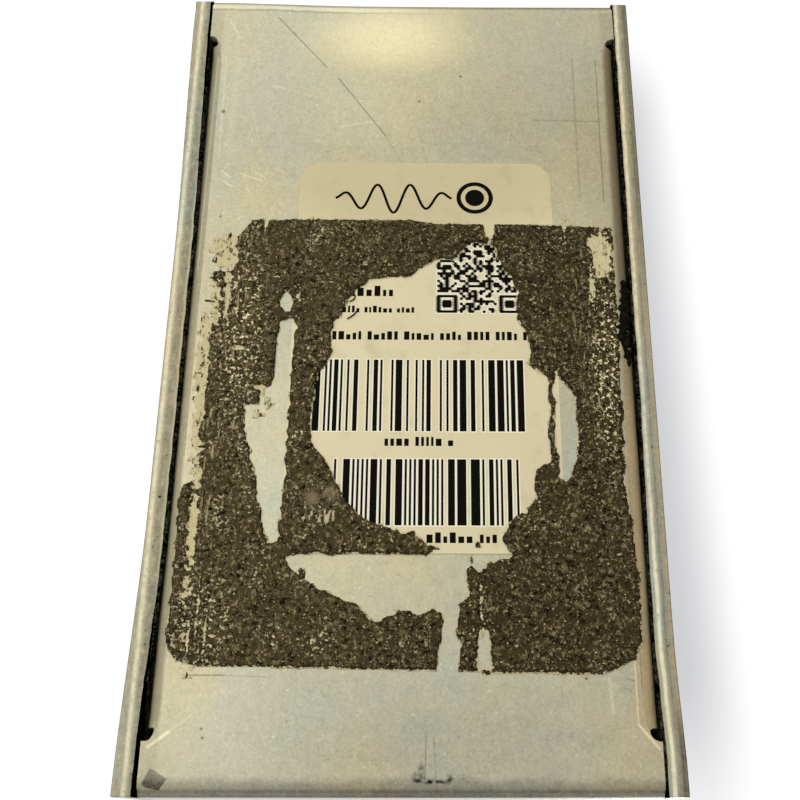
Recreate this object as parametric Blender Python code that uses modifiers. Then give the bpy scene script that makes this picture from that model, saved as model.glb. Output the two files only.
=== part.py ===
"""A compact effects pedal in a two-piece folded sheet-metal case.

The pedal stands on its base with the controls up: +Z up, +Y to the rear, where the knobs are, and +X to
the player's right, where the input jack is. The origin is at the middle of the footprint, on the surface
that the pedal stands on. Lengths are metres.
"""

import bmesh
import bpy
from math import cos, hypot, pi, radians, sin
from mathutils import Matrix, Vector

MM = 0.001
GAP = 0.3 * MM  # clearance between round or cut pieces
SEAT = 0.05 * MM  # clearance between flat faces that rest on each other

# Case: a base tray with end walls and side flanges, and a cover that is an upside-down channel.
CASE_WIDTH = 58.4 * MM
CASE_LENGTH = 101.6 * MM
CASE_HEIGHT = 32.0 * MM
SHEET = 1.6 * MM
BASE_BEND = 1.6 * MM  # outer radius of the tray's bends
COVER_BEND = 2.6 * MM
BEND_STEPS = 5
TRAY_WIDTH = 54.5 * MM  # across the plate's four ears
FLANGE_WIDTH = 53.4 * MM  # across the outside of the two flanges
FLANGE_TOP = 10.0 * MM
FLANGE_LENGTH = 88.8 * MM
RELIEF = 1.2 * MM  # notch between a flange and the ear next to it
WALL_TOP = 30.4 * MM

# The underside carries a label and the torn remains of mounting tape, so the pedal stands on the tape.
RESIDUE = 0.5 * MM
LABEL_WIDTH = 31.75 * MM
LABEL_LENGTH = 50.8 * MM
LABEL_CORNER = 2.8 * MM
LABEL_CENTRE_X = -2.0 * MM
LABEL_BOTTOM = RESIDUE + SEAT / 2
LABEL_THICK = 0.09 * MM
PLATE_BOTTOM = 0.65 * MM
COVER_TOP = PLATE_BOTTOM + CASE_HEIGHT
COVER_INSIDE = COVER_TOP - SHEET
HALF_WIDTH = CASE_WIDTH / 2
INNER_HALF = HALF_WIDTH - SHEET
REAR_INSIDE = CASE_LENGTH / 2 - SHEET

# Countersunk M3 screws hold the cover to clinch nuts in the flanges.
SCREW_Y = 36.0 * MM
SCREW_Z = 6.5 * MM
SCREW_R = 1.5 * MM
SCREW_HEAD_R = 2.8 * MM
SCREW_LENGTH = 7.2 * MM
CLINCH_R = 3.2 * MM
CLINCH_LENGTH = 2.2 * MM

# Main board, hung from the pots and the jacks.
BOARD_TOP = 24.25 * MM
BOARD_THICK = 1.6 * MM
BOARD_BOTTOM = BOARD_TOP - BOARD_THICK
BOARD_WIDTH = 48.0 * MM
BOARD_FRONT = -16.0 * MM
BOARD_REAR = 47.5 * MM
PARTS_ON_BOARD = BOARD_TOP + GAP

# Two pots with 8 mm bushings, and their knobs.
CONTROLS = {"level": 13.0 * MM, "gain": -13.0 * MM}
KNOB_Y = 30.0 * MM
BUSHING_R = 4.0 * MM
BUSHING_TOP = COVER_TOP + 3.6 * MM
SHAFT_R = 3.0 * MM
SHAFT_TOP = COVER_TOP + 11.8 * MM
KNOB_BOTTOM = COVER_TOP + 0.45 * MM
KNOB_TOP = COVER_TOP + 14.4 * MM
KNOB_R = 8.5 * MM
KNOB_TOP_R = 7.5 * MM
KNOB_HOLLOW_R = 7.0 * MM
SET_SCREW_Z = COVER_TOP + 8.0 * MM
SET_SCREW_R = 1.4 * MM

# Footswitch: a 12 mm bushing with a sprung plunger.
SWITCH_Y = -32.0 * MM
SWITCH_SIZE = 17.0 * MM
SWITCH_TOP = COVER_INSIDE - 3.0 * MM
SWITCH_BOTTOM = SWITCH_TOP - 13.5 * MM
SWITCH_BUSHING_R = 6.0 * MM
SWITCH_BUSHING_TOP = SWITCH_TOP + 12.0 * MM
PLUNGER_R = 3.9 * MM
PLUNGER_TOP = SWITCH_BUSHING_TOP + 6.0 * MM
PLUNGER_FOOT = SWITCH_TOP - 1.5 * MM
WELL_R = 5.0 * MM
WELL_BOTTOM = SWITCH_BOTTOM + 2.5 * MM
SPRING_R = 3.6 * MM
SPRING_WIRE_R = 0.35 * MM
SPRING_TURNS = 4
LUG_BOTTOM = SWITCH_BOTTOM - 2.4 * MM
SWITCH_BOARD = 20.0 * MM
SWITCH_BOARD_THICK = 1.2 * MM

# Quarter-inch jacks, one in each side wall, staggered so that their bodies pass each other.
JACKS = {"input": (1, 24.0 * MM), "output": (-1, 5.0 * MM)}
JACK_DEPTH = 28.0 * MM
JACK_WIDTH = 16.0 * MM
JACK_HEIGHT = 11.4 * MM
JACK_Z = BOARD_BOTTOM - GAP - JACK_HEIGHT / 2
JACK_BORE_R = 3.25 * MM
JACK_THREAD_R = 4.7 * MM
JACK_THREAD_END = SHEET + 1.65 * MM
JACK_WASHER = 0.35 * MM
JACK_NUT = 1.1 * MM
JACK_NUT_WIDTH = 12.0 * MM
JACK_BLIND = 26.0 * MM
CONTACT_PIVOT_X = -10.5 * MM
CONTACT_PIVOT_Y = 5.6 * MM
CONTACT_THICK = 0.4 * MM
CONTACT_HALF = 1.3 * MM

# Power inlet, behind a hole in the rear wall.
POWER_WIDTH = 10.0 * MM
POWER_HEIGHT = 11.0 * MM
POWER_DEPTH = 14.0 * MM
POWER_Z = BOARD_BOTTOM - 6.5 * MM
POWER_HOLE_R = 5.0 * MM
POWER_BORE_R = 2.9 * MM
POWER_BORE_DEPTH = 10.0 * MM
POWER_PIN_R = 1.05 * MM
POWER_FRONT = REAR_INSIDE - GAP

# Indicator.
LED_Y = 6.0 * MM
LED_R = 2.5 * MM
BEZEL_R = 3.9 * MM


# ---------------------------------------------------------------- materials and helpers


def finish(name, colour, roughness, metallic=0.0):
    material = bpy.data.materials.new(name)
    material.use_nodes = True
    shader = material.node_tree.nodes["Principled BSDF"]
    shader.inputs["Base Color"].default_value = (*colour, 1.0)
    shader.inputs["Roughness"].default_value = roughness
    shader.inputs["Metallic"].default_value = metallic
    return material


def link(obj, group):
    for owner in list(obj.users_collection):
        owner.objects.unlink(obj)
    group.objects.link(obj)


def place(obj, location=(0, 0, 0), axis="Z", turn=0.0):
    """Puts an object made along +Z at its place, with its own Z along the axis asked for."""
    tilt = {"X": Matrix.Rotation(pi / 2, 4, "Y"), "Y": Matrix.Rotation(-pi / 2, 4, "X")}.get(axis, Matrix())
    obj.matrix_world = Matrix.Translation(location) @ Matrix.Rotation(turn, 4, "Z") @ tilt
    return obj


def mesh_object(name, bm, material, smooth=False):
    mesh = bpy.data.meshes.new(name)
    bm.to_mesh(mesh)
    bm.free()
    mesh.materials.append(material)
    if smooth:
        mesh.shade_smooth()
        mesh.set_sharp_from_angle(angle=radians(35))
    obj = bpy.data.objects.new(name, mesh)
    pedal.objects.link(obj)
    return obj


def box(name, low, high, material):
    """A block between two corners."""
    bm = bmesh.new()
    bmesh.ops.create_cube(bm, size=1.0)
    bmesh.ops.scale(bm, vec=Vector(high) - Vector(low), verts=bm.verts)
    obj = mesh_object(name, bm, material)
    obj.location = (Vector(low) + Vector(high)) / 2
    return obj


def rod(name, radius, bottom, top, material, end_radius=None, segments=24):
    """A cylinder or cone along its own Z."""
    bm = bmesh.new()
    other = radius if end_radius is None else end_radius
    bmesh.ops.create_cone(
        bm, cap_ends=True, segments=segments, radius1=radius, radius2=other, depth=top - bottom
    )
    bmesh.ops.translate(bm, vec=(0, 0, (top + bottom) / 2), verts=bm.verts)
    return mesh_object(name, bm, material, smooth=True)


def turned(name, profile, material, steps=28, ring=False):
    """Turns (radius, height) points that run down the outside, top to bottom. A ring's profile closes."""
    bm = bmesh.new()
    points = [bm.verts.new((radius, 0, height)) for radius, height in profile]
    for start, end in zip(points, points[1:]):
        bm.edges.new((start, end))
    if ring:
        bm.edges.new((points[-1], points[0]))
    obj = mesh_object(name, bm, material)
    turn = obj.modifiers.new("Turn", "SCREW")
    turn.steps = turn.render_steps = steps
    turn.use_merge_vertices = True
    turn.merge_threshold = 0.00001
    turn.use_smooth_shade = True
    return obj


def outline(name, loops, low, high, material):
    """A flat shape between two heights. A loop inside another one is a hole."""
    curve = bpy.data.curves.new(name, "CURVE")
    curve.dimensions = "2D"
    curve.fill_mode = "BOTH"
    curve.extrude = (high - low) / 2
    for loop in loops:
        spline = curve.splines.new("POLY")
        spline.points.add(len(loop) - 1)
        spline.use_cyclic_u = True
        for point, (x, y) in zip(spline.points, loop):
            point.co = (x, y, 0, 1)
    curve.materials.append(material)
    obj = bpy.data.objects.new(name, curve)
    pedal.objects.link(obj)
    obj.location.z = (low + high) / 2
    return obj


def circle(radius, steps=24, start=0.0):
    return [
        (radius * cos(start + 2 * pi * i / steps), radius * sin(start + 2 * pi * i / steps))
        for i in range(steps)
    ]


def hexagon(across_flats):
    return circle(across_flats / 2 / cos(pi / 6), 6, pi / 6)


def rounded_rectangle(width, length, corner, centre=(0.0, 0.0), steps=6):
    points = []
    for quarter in range(4):
        angle = quarter * pi / 2
        x = (width / 2 - corner) * (1 if quarter in (0, 3) else -1)
        y = (length / 2 - corner) * (1 if quarter in (0, 1) else -1)
        for i in range(steps + 1):
            a = angle + pi / 2 * i / steps
            points.append((centre[0] + x + corner * cos(a), centre[1] + y + corner * sin(a)))
    return points


def band(path, thickness):
    """The outline of a strip of even thickness along a path."""
    sides = ([], [])
    for i, (x, y) in enumerate(path):
        before, after = path[max(i - 1, 0)], path[min(i + 1, len(path) - 1)]
        run = hypot(after[0] - before[0], after[1] - before[1])
        across = (-(after[1] - before[1]) / run, (after[0] - before[0]) / run)
        for side, way in zip(sides, (0.5, -0.5)):
            side.append((x + way * thickness * across[0], y + way * thickness * across[1]))
    return sides[0] + sides[1][::-1]


def combine(obj, tool, operation="DIFFERENCE"):
    """Cuts a tool from an object, or joins it on."""
    link(tool, tools)
    tool.hide_render = True
    tool.display_type = "WIRE"
    boolean = obj.modifiers.new(operation.title(), "BOOLEAN")
    boolean.operation = operation
    boolean.solver = "EXACT"
    boolean.object = tool
    return obj


# ---------------------------------------------------------------- case


def fold_up(bm, edges, centre, axis, height):
    """Bends the sheet up a right angle along these edges, then draws the wall up."""
    bent = bmesh.ops.spin(
        bm, geom=edges, cent=centre, axis=axis, angle=pi / 2, steps=BEND_STEPS, use_duplicate=False
    )
    last = [item for item in bent["geom_last"] if isinstance(item, bmesh.types.BMEdge)]
    wall = bmesh.ops.extrude_edge_only(bm, edges=last)["geom"]
    bmesh.ops.translate(
        bm, vec=(0, 0, height), verts=[item for item in wall if isinstance(item, bmesh.types.BMVert)]
    )


def split(bm, point, normal):
    geometry = bm.verts[:] + bm.edges[:] + bm.faces[:]
    bmesh.ops.bisect_plane(bm, geom=geometry, plane_co=point, plane_no=normal)


def edges_at(bm, test):
    return [edge for edge in bm.edges if all(test(vert.co) for vert in edge.verts)]


def thicken(obj, outward):
    """Gives a sheet its thickness inwards. outward is the way that its first face looks."""
    bm = bmesh.new()
    bm.from_mesh(obj.data)
    bmesh.ops.recalc_face_normals(bm, faces=bm.faces)
    bm.faces.ensure_lookup_table()
    test = max(bm.faces, key=lambda face: face.calc_area())
    if test.normal.dot(outward) < 0:
        bmesh.ops.reverse_faces(bm, faces=bm.faces)
    bm.to_mesh(obj.data)
    bm.free()
    sheet = obj.modifiers.new("Sheet", "SOLIDIFY")
    sheet.thickness = SHEET
    sheet.offset = -1
    sheet.use_even_offset = True


def base_chassis(material):
    """The tray: a plate with an end wall at front and rear, and a flange inside each side of the cover."""
    bend_x = FLANGE_WIDTH / 2 - BASE_BEND
    bend_y = CASE_LENGTH / 2 - BASE_BEND
    flange_y = FLANGE_LENGTH / 2
    ear_y = flange_y + RELIEF
    bm = bmesh.new()
    bmesh.ops.create_grid(bm, x_segments=1, y_segments=1, size=0.5)
    bmesh.ops.scale(bm, vec=(TRAY_WIDTH, 2 * bend_y, 1), verts=bm.verts)
    bmesh.ops.translate(bm, vec=(0, 0, PLATE_BOTTOM), verts=bm.verts)
    for side in (1, -1):
        split(bm, (side * bend_x, 0, 0), (1, 0, 0))
        split(bm, (0, side * flange_y, 0), (0, 1, 0))
        split(bm, (0, side * ear_y, 0), (0, 1, 0))
    beside = [
        face
        for face in bm.faces
        if abs(face.calc_center_median().x) > bend_x and abs(face.calc_center_median().y) < ear_y
    ]
    bmesh.ops.delete(bm, geom=beside, context="FACES")
    for side in (1, -1):
        along = edges_at(bm, lambda co: abs(co.x - side * bend_x) < 1e-6 and abs(co.y) < flange_y + 1e-6)
        centre = (side * bend_x, 0, PLATE_BOTTOM + BASE_BEND)
        fold_up(bm, along, centre, (0, -side, 0), FLANGE_TOP - PLATE_BOTTOM - BASE_BEND)
    for side in (1, -1):
        along = edges_at(bm, lambda co: abs(co.y - side * bend_y) < 1e-6 and co.z < PLATE_BOTTOM + 1e-6)
        centre = (0, side * bend_y, PLATE_BOTTOM + BASE_BEND)
        fold_up(bm, along, centre, (side, 0, 0), WALL_TOP - PLATE_BOTTOM - BASE_BEND)
    bmesh.ops.remove_doubles(bm, verts=bm.verts, dist=1e-6)
    tray = mesh_object("base_chassis", bm, material)
    thicken(tray, Vector((0, 0, -1)))
    for x in (1, -1):
        for y in (1, -1):
            drill = rod("flange_drill", SCREW_R + GAP, -6 * MM, 6 * MM, material, segments=16)
            combine(tray, place(drill, (x * FLANGE_WIDTH / 2, y * SCREW_Y, SCREW_Z), "X"))
    inlet = rod("inlet_drill", POWER_HOLE_R, -5 * MM, 5 * MM, material, segments=32)
    combine(tray, place(inlet, (0, CASE_LENGTH / 2, POWER_Z), "Y"))
    return tray


def countersink(material):
    """The cutter for one screw hole, along +Z out of the wall."""
    hole = SCREW_R + GAP
    head = SCREW_HEAD_R + GAP
    profile = [(0, 2 * MM), (head, 2 * MM), (head, 0), (hole, hole - head), (hole, -4 * MM), (0, -4 * MM)]
    return turned("countersink", profile, material, steps=16)


def top_cover(material):
    """The cover: top and side walls in one folded sheet, with the holes for what sits in it."""
    bm = bmesh.new()
    bmesh.ops.create_grid(bm, x_segments=1, y_segments=1, size=0.5)
    bend_x = HALF_WIDTH - COVER_BEND
    bmesh.ops.scale(bm, vec=(2 * bend_x, CASE_LENGTH, 1), verts=bm.verts)
    bmesh.ops.translate(bm, vec=(0, 0, COVER_TOP), verts=bm.verts)
    for side in (1, -1):
        along = edges_at(bm, lambda co: abs(co.x - side * bend_x) < 1e-6)
        centre = (side * bend_x, 0, COVER_TOP - COVER_BEND)
        fold_up(bm, along, centre, (0, side, 0), PLATE_BOTTOM - COVER_TOP + COVER_BEND)
    bmesh.ops.remove_doubles(bm, verts=bm.verts, dist=1e-6)
    cover = mesh_object("top_cover", bm, material)
    thicken(cover, Vector((0, 0, 1)))
    top_holes = [(x, KNOB_Y, BUSHING_R + GAP) for x in CONTROLS.values()]
    top_holes += [(0, LED_Y, BEZEL_R + GAP), (0, SWITCH_Y, SWITCH_BUSHING_R + GAP)]
    for x, y, radius in top_holes:
        drill = rod("top_drill", radius, COVER_INSIDE - 2 * MM, COVER_TOP + 2 * MM, material)
        combine(cover, place(drill, (x, y, 0)))
    for way, y in JACKS.values():
        drill = rod("side_drill", JACK_THREAD_R + GAP, -4 * MM, 4 * MM, material)
        combine(cover, place(drill, (way * HALF_WIDTH, y, JACK_Z), "X"))
    for x in (1, -1):
        for y in (1, -1):
            turn = 0 if x > 0 else pi
            place_at = (x * HALF_WIDTH, y * SCREW_Y, SCREW_Z)
            combine(cover, place(countersink(material), place_at, "X", turn))
    return cover


def case_screws(material, nut_material):
    """Four countersunk screws with a cross recess, and the clinch nuts that they go into."""
    for x, across in ((1, "right"), (-1, "left")):
        for y, along in ((1, "rear"), (-1, "front")):
            turn = 0 if x > 0 else pi
            at = (x * HALF_WIDTH, y * SCREW_Y, SCREW_Z)
            top = -SEAT
            cone = SCREW_R - SCREW_HEAD_R
            profile = [(0, top), (SCREW_HEAD_R, top), (SCREW_R, top + cone)]
            profile += [(SCREW_R, top - SCREW_LENGTH), (0, top - SCREW_LENGTH)]
            screw = place(turned(f"case_screw_{along}_{across}", profile, material, 16), at, "X", turn)
            for spin in (0, pi / 2):
                half = (0.3 * MM, 1.5 * MM, 0.9 * MM)
                slot = box("recess", [-h for h in half], half, material)
                slot.matrix_world = screw.matrix_world @ Matrix.Rotation(spin, 4, "Z")
                combine(screw, slot)
            inner = HALF_WIDTH - FLANGE_WIDTH / 2 + SHEET + SEAT
            loops = [circle(CLINCH_R, 20), circle(SCREW_R + GAP, 16)]
            nut = outline(f"clinch_nut_{along}_{across}", loops, 0, CLINCH_LENGTH, nut_material)
            place(nut, (at[0] - x * (inner + CLINCH_LENGTH / 2), at[1], at[2]), "X")


# ---------------------------------------------------------------- underside


def underside(label_material, residue_material):
    """The label, and what is left of the strips of tape, which were torn off in patches."""
    corners = rounded_rectangle(LABEL_WIDTH, LABEL_LENGTH, LABEL_CORNER, (LABEL_CENTRE_X, 0))
    outline("product_label", [corners], LABEL_BOTTOM, LABEL_BOTTOM + LABEL_THICK, label_material)
    patches = {
        "tape_residue_right": [
            (20.3, -37.4), (24.2, -36.8), (25.6, -35.2), (25.3, -28), (24, -18), (23.4, 5.5), (24, 9.6),
            (21.3, 10), (20.3, 13.5), (20.3, 3.2), (15.6, 3.2), (15.6, -4), (17.2, -7.5), (19, -8),
            (18.6, -12), (16.8, -18), (15.3, -24.2), (15.3, -25.6), (20.3, -25.6),
        ],
        "tape_residue_rear": [
            (20, 16), (18.3, 15.3), (17.5, 17), (0, 17), (-4.7, 16.4), (-4.7, 11.6), (-3, 11),
            (-1.2, 10.3), (4.5, 8.5), (7, 6), (7.6, 3.5), (20, 3.5),
        ],
        "tape_residue_on_label": [
            (13.5, 3.2), (8.6, 3.2), (9.1, 1), (8.8, -1), (10.6, -4), (11.1, -11), (9.2, -14.8),
            (6.5, -19.5), (4.3, -21.7), (-0.3, -23), (-2.2, -25.2), (12, -25.2), (13.6, -23.5),
        ],
        "tape_residue_front_right": [
            (20, -25.9), (13.3, -25.9), (12.3, -27.2), (9.5, -29.3), (5, -31.1), (3, -32.9), (-1, -32.2),
            (-3.3, -31.3), (-4.3, -32.5), (-4, -35), (-3.2, -38), (20, -38),
        ],
        "tape_residue_left": [
            (-5, 16.3), (-9.3, 16.5), (-10, 14.4), (-10.7, 16.5), (-25.3, 16.3), (-25.2, -12),
            (-25.7, -26), (-11, -26), (-10, -25), (-12.2, -21), (-14.6, -19.5), (-14.7, -15.6),
            (-16.8, -12), (-16.3, -4), (-14.4, -2.6), (-13.3, 7), (-11, 12), (-10.3, 13.7), (-8, 13.7),
            (-5.4, 11.4),
        ],
        "tape_residue_front_left": [
            (-7.1, -26.3), (-25.7, -26.3), (-25.7, -34.8), (-25, -36.8), (-21, -38.4), (-9.6, -38.2),
            (-8.2, -34), (-7.8, -38), (-6, -38), (-6, -30.5), (-7.2, -30),
        ],
    }
    for name, points in patches.items():
        loop = [(x * MM, y * MM) for x, y in points]
        outline(name, [loop], 0, RESIDUE, residue_material)


# ---------------------------------------------------------------- controls


def control(name, x, materials):
    """A board pot, its washer and nut on the cover, its shaft, and the knob with its set screw."""
    pot = box(
        f"{name}_pot_body",
        (x - 4.9 * MM, KNOB_Y - 6 * MM, PARTS_ON_BOARD),
        (x + 4.9 * MM, KNOB_Y + 6 * MM, COVER_INSIDE - GAP),
        materials["plated"],
    )
    neck = rod("neck", BUSHING_R, COVER_INSIDE - 2.4 * MM, BUSHING_TOP, materials["plated"])
    combine(pot, place(neck, (x, KNOB_Y, 0)), "UNION")
    bore = rod("bore", SHAFT_R + GAP, PARTS_ON_BOARD + 1.5 * MM, BUSHING_TOP + 2 * MM, materials["plated"])
    combine(pot, place(bore, (x, KNOB_Y, 0)))

    foot = PARTS_ON_BOARD + 2 * MM
    shaft = rod(f"{name}_pot_shaft", SHAFT_R, foot, SHAFT_TOP, materials["steel"], segments=20)
    place(shaft, (x, KNOB_Y, 0))

    washer_top = COVER_TOP + SEAT + 0.6 * MM
    ring = [circle(6.4 * MM, 28), circle(BUSHING_R + GAP, 24)]
    washer = outline(f"{name}_pot_washer", ring, COVER_TOP + SEAT, washer_top, materials["steel"])
    nut_loops = [hexagon(11 * MM), circle(BUSHING_R + GAP, 24)]
    nut = outline(f"{name}_pot_nut", nut_loops, washer_top + SEAT, washer_top + 2.1 * MM, materials["steel"])
    for piece in (washer, nut):
        piece.location.xy = (x, KNOB_Y)

    hollow_top = BUSHING_TOP + 0.4 * MM
    bore_top = SHAFT_TOP + 0.5 * MM
    edge = 0.6 * MM
    profile = [(0, KNOB_TOP), (KNOB_TOP_R - edge, KNOB_TOP), (KNOB_TOP_R, KNOB_TOP - edge)]
    profile += [(KNOB_R, KNOB_BOTTOM + 1.6 * MM), (KNOB_R, KNOB_BOTTOM), (KNOB_HOLLOW_R, KNOB_BOTTOM)]
    profile += [(KNOB_HOLLOW_R, hollow_top), (SHAFT_R + GAP, hollow_top), (SHAFT_R + GAP, bore_top)]
    profile += [(0, bore_top)]
    knob = place(turned(f"{name}_knob", profile, materials["knob"], 36), (x, KNOB_Y, 0))
    line = box(
        "pointer_groove",
        (x - 0.5 * MM, KNOB_Y + 1.5 * MM, KNOB_TOP - 0.4 * MM),
        (x + 0.5 * MM, KNOB_Y + KNOB_R, KNOB_TOP + MM),
        materials["knob"],
    )
    combine(knob, line)
    tap = rod("tap", SET_SCREW_R + GAP, SHAFT_R - 0.5 * MM, KNOB_R + 2 * MM, materials["knob"], segments=16)
    combine(knob, place(tap, (x, KNOB_Y, SET_SCREW_Z), "Y", pi))
    loops = [circle(SET_SCREW_R, 16), circle(0.75 * MM, 6)]
    length = 4.0 * MM
    screw = outline(f"{name}_knob_set_screw", loops, 0, length, materials["steel"])
    place(screw, (x, KNOB_Y - SHAFT_R - GAP - length / 2, SET_SCREW_Z), "Y")


def footswitch(materials):
    """A three-pole stomp switch: body with solder lugs, bushing, nuts, spring and plunger."""
    half = SWITCH_SIZE / 2
    body = box(
        "footswitch_body",
        (-half, SWITCH_Y - half, SWITCH_BOTTOM),
        (half, SWITCH_Y + half, SWITCH_TOP),
        materials["blue_nylon"],
    )
    well = rod("well", WELL_R, WELL_BOTTOM, SWITCH_TOP + 2 * MM, materials["blue_nylon"])
    combine(body, place(well, (0, SWITCH_Y, 0)))
    for column in (-1, 0, 1):
        for row in (-1, 0, 1):
            x = column * 5.3 * MM
            y = SWITCH_Y + row * 5.3 * MM
            lug = box(
                "lug",
                (x - 1.1 * MM, y - 0.4 * MM, LUG_BOTTOM),
                (x + 1.1 * MM, y + 0.4 * MM, SWITCH_BOTTOM + MM),
                materials["steel"],
            )
            combine(body, lug, "UNION")

    collar = 7.2 * MM
    bushing = [(SWITCH_BUSHING_R, SWITCH_BUSHING_TOP), (SWITCH_BUSHING_R, SWITCH_TOP + 1.2 * MM)]
    bushing += [(collar, SWITCH_TOP + 1.2 * MM), (collar, SWITCH_TOP + SEAT)]
    bushing += [(PLUNGER_R + GAP, SWITCH_TOP + SEAT), (PLUNGER_R + GAP, SWITCH_BUSHING_TOP)]
    sleeve = turned("footswitch_bushing", bushing, materials["plated"], 32, ring=True)

    lock_bottom = SWITCH_TOP + 1.3 * MM
    lock_top = COVER_INSIDE - SEAT
    around = circle(SWITCH_BUSHING_R + GAP, 28)
    lock = outline("footswitch_lock_nut", [hexagon(14 * MM), around], lock_bottom, lock_top, materials["steel"])
    washer_top = COVER_TOP + 0.9 * MM
    washer_loops = [circle(8.6 * MM, 32), around]
    washer = outline(
        "footswitch_washer", washer_loops, COVER_TOP + SEAT, washer_top, materials["white_nylon"]
    )
    nut_top = washer_top + 2.4 * MM
    dress = outline(
        "footswitch_dress_nut", [hexagon(14 * MM), around], washer_top + SEAT, nut_top, materials["steel"]
    )

    dome = 1.2 * MM
    shoulder = PLUNGER_R - dome
    profile = [(0, PLUNGER_TOP)]
    for i in range(5):
        angle = pi / 2 * i / 4
        profile.append((shoulder + dome * sin(angle), PLUNGER_TOP - dome + dome * cos(angle)))
    profile += [(PLUNGER_R, PLUNGER_FOOT), (0, PLUNGER_FOOT)]
    plunger = turned("footswitch_plunger", profile, materials["plated"], 28)

    wire_top = PLUNGER_FOOT - SPRING_WIRE_R - SEAT
    wire_bottom = WELL_BOTTOM + SPRING_WIRE_R + SEAT
    curve = bpy.data.curves.new("footswitch_spring", "CURVE")
    curve.dimensions = "3D"
    curve.bevel_depth = SPRING_WIRE_R
    curve.bevel_resolution = 1
    curve.use_fill_caps = True
    spline = curve.splines.new("POLY")
    per_turn = 14
    count = SPRING_TURNS * per_turn
    spline.points.add(count)
    for i, point in enumerate(spline.points):
        angle = 2 * pi * i / per_turn
        height = wire_bottom + (wire_top - wire_bottom) * i / count
        point.co = (SPRING_R * cos(angle), SPRING_R * sin(angle), height, 1)
    curve.materials.append(materials["steel"])
    spring = bpy.data.objects.new("footswitch_spring", curve)
    pedal.objects.link(spring)
    for piece in (sleeve, lock, washer, dress, plunger, spring):
        piece.location.y = SWITCH_Y


# ---------------------------------------------------------------- sockets


def jack(name, way, y, materials):
    """A quarter-inch jack, made along +X from the inside of the side wall, then turned to its own side."""
    at = (way * INNER_HALF, y, JACK_Z)
    turn = 0 if way > 0 else pi
    frame = Matrix.Translation(at) @ Matrix.Rotation(turn, 4, "Z")
    half_y, half_z = JACK_WIDTH / 2, JACK_HEIGHT / 2
    housing = box(
        f"{name}_jack_housing", (-JACK_DEPTH, -half_y, -half_z), (-GAP, half_y, half_z), materials["jack"]
    )
    housing.matrix_world = frame @ Matrix.Translation(housing.location)
    neck = rod("neck", JACK_THREAD_R, -MM, JACK_THREAD_END, materials["jack"], segments=28)
    combine(housing, place(neck, at, "X", turn), "UNION")
    bore = rod("bore", JACK_BORE_R, -JACK_BLIND, JACK_THREAD_END + 2 * MM, materials["jack"], segments=28)
    combine(housing, place(bore, at, "X", turn))
    pocket = box(
        "pocket",
        (-JACK_DEPTH - MM, 1.5 * MM, -1.8 * MM),
        (-9 * MM, 7.2 * MM, 1.8 * MM),
        materials["jack"],
    )
    pocket.matrix_world = frame @ Matrix.Translation(pocket.location)
    combine(housing, pocket)

    path = [(0.9, 0.05), (-2, -0.15), (-9.6, -1.75), (-11, -3.2), (-12.8, -2.0)]
    strip = band([(px * MM, py * MM) for px, py in path], CONTACT_THICK)
    contact = outline(f"{name}_jack_tip_contact", [strip], -CONTACT_HALF, CONTACT_HALF, materials["contact"])
    contact.matrix_world = frame @ Matrix.Translation((CONTACT_PIVOT_X, CONTACT_PIVOT_Y, 0))

    ring_x = SHEET + SEAT
    washer = outline(
        f"{name}_jack_washer",
        [circle(6.6 * MM, 28), circle(JACK_THREAD_R + GAP, 28)],
        0,
        JACK_WASHER,
        materials["steel"],
    )
    place(washer, (at[0] + way * (ring_x + JACK_WASHER / 2), y, JACK_Z), "X")
    nut = outline(
        f"{name}_jack_nut",
        [hexagon(JACK_NUT_WIDTH), circle(JACK_THREAD_R + GAP, 28)],
        0,
        JACK_NUT,
        materials["steel"],
    )
    place(nut, (at[0] + way * (ring_x + JACK_WASHER + SEAT + JACK_NUT / 2), y, JACK_Z), "X")


def power_inlet(materials):
    """The power jack: a moulded block with a round socket, its centre pin and its sleeve contact."""
    back = POWER_FRONT - POWER_DEPTH
    top = BOARD_BOTTOM - GAP
    block = box(
        "power_jack_housing",
        (-POWER_WIDTH / 2, back, top - POWER_HEIGHT),
        (POWER_WIDTH / 2, POWER_FRONT, top),
        materials["jack"],
    )
    root = 2.5 * MM
    bore = rod("bore", POWER_BORE_R, -POWER_BORE_DEPTH, 2 * MM, materials["jack"])
    combine(block, place(bore, (0, POWER_FRONT, POWER_Z), "Y"))
    seat_depth = POWER_BORE_DEPTH + root + GAP
    seat = rod("seat", POWER_PIN_R + GAP, -seat_depth, -2 * MM, materials["jack"], segments=16)
    combine(block, place(seat, (0, POWER_FRONT, POWER_Z), "Y"))
    slot = box(
        "slot",
        (-1.5 * MM, POWER_FRONT - 9 * MM, top - POWER_HEIGHT - MM),
        (1.5 * MM, POWER_FRONT - 2 * MM, POWER_Z - MM),
        materials["jack"],
    )
    combine(block, slot)
    pin = rod("power_jack_pin", POWER_PIN_R, -POWER_BORE_DEPTH - root, -MM, materials["contact"], segments=16)
    place(pin, (0, POWER_FRONT, POWER_Z), "Y")

    path = [(0.0, 0.0), (1.5, 0.3), (4.0, 1.3), (5.2, 0.5)]
    strip = band([(px * MM, py * MM) for px, py in path], CONTACT_THICK)
    contact = outline("power_jack_sleeve_contact", [strip], -MM, MM, materials["contact"])
    pivot = Matrix.Translation((0, POWER_FRONT - 8.2 * MM, POWER_Z - 3.9 * MM))
    contact.matrix_world = pivot @ Matrix.Rotation(pi / 2, 4, "Z") @ Matrix.Rotation(pi / 2, 4, "X")


# ---------------------------------------------------------------- electronics


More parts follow.
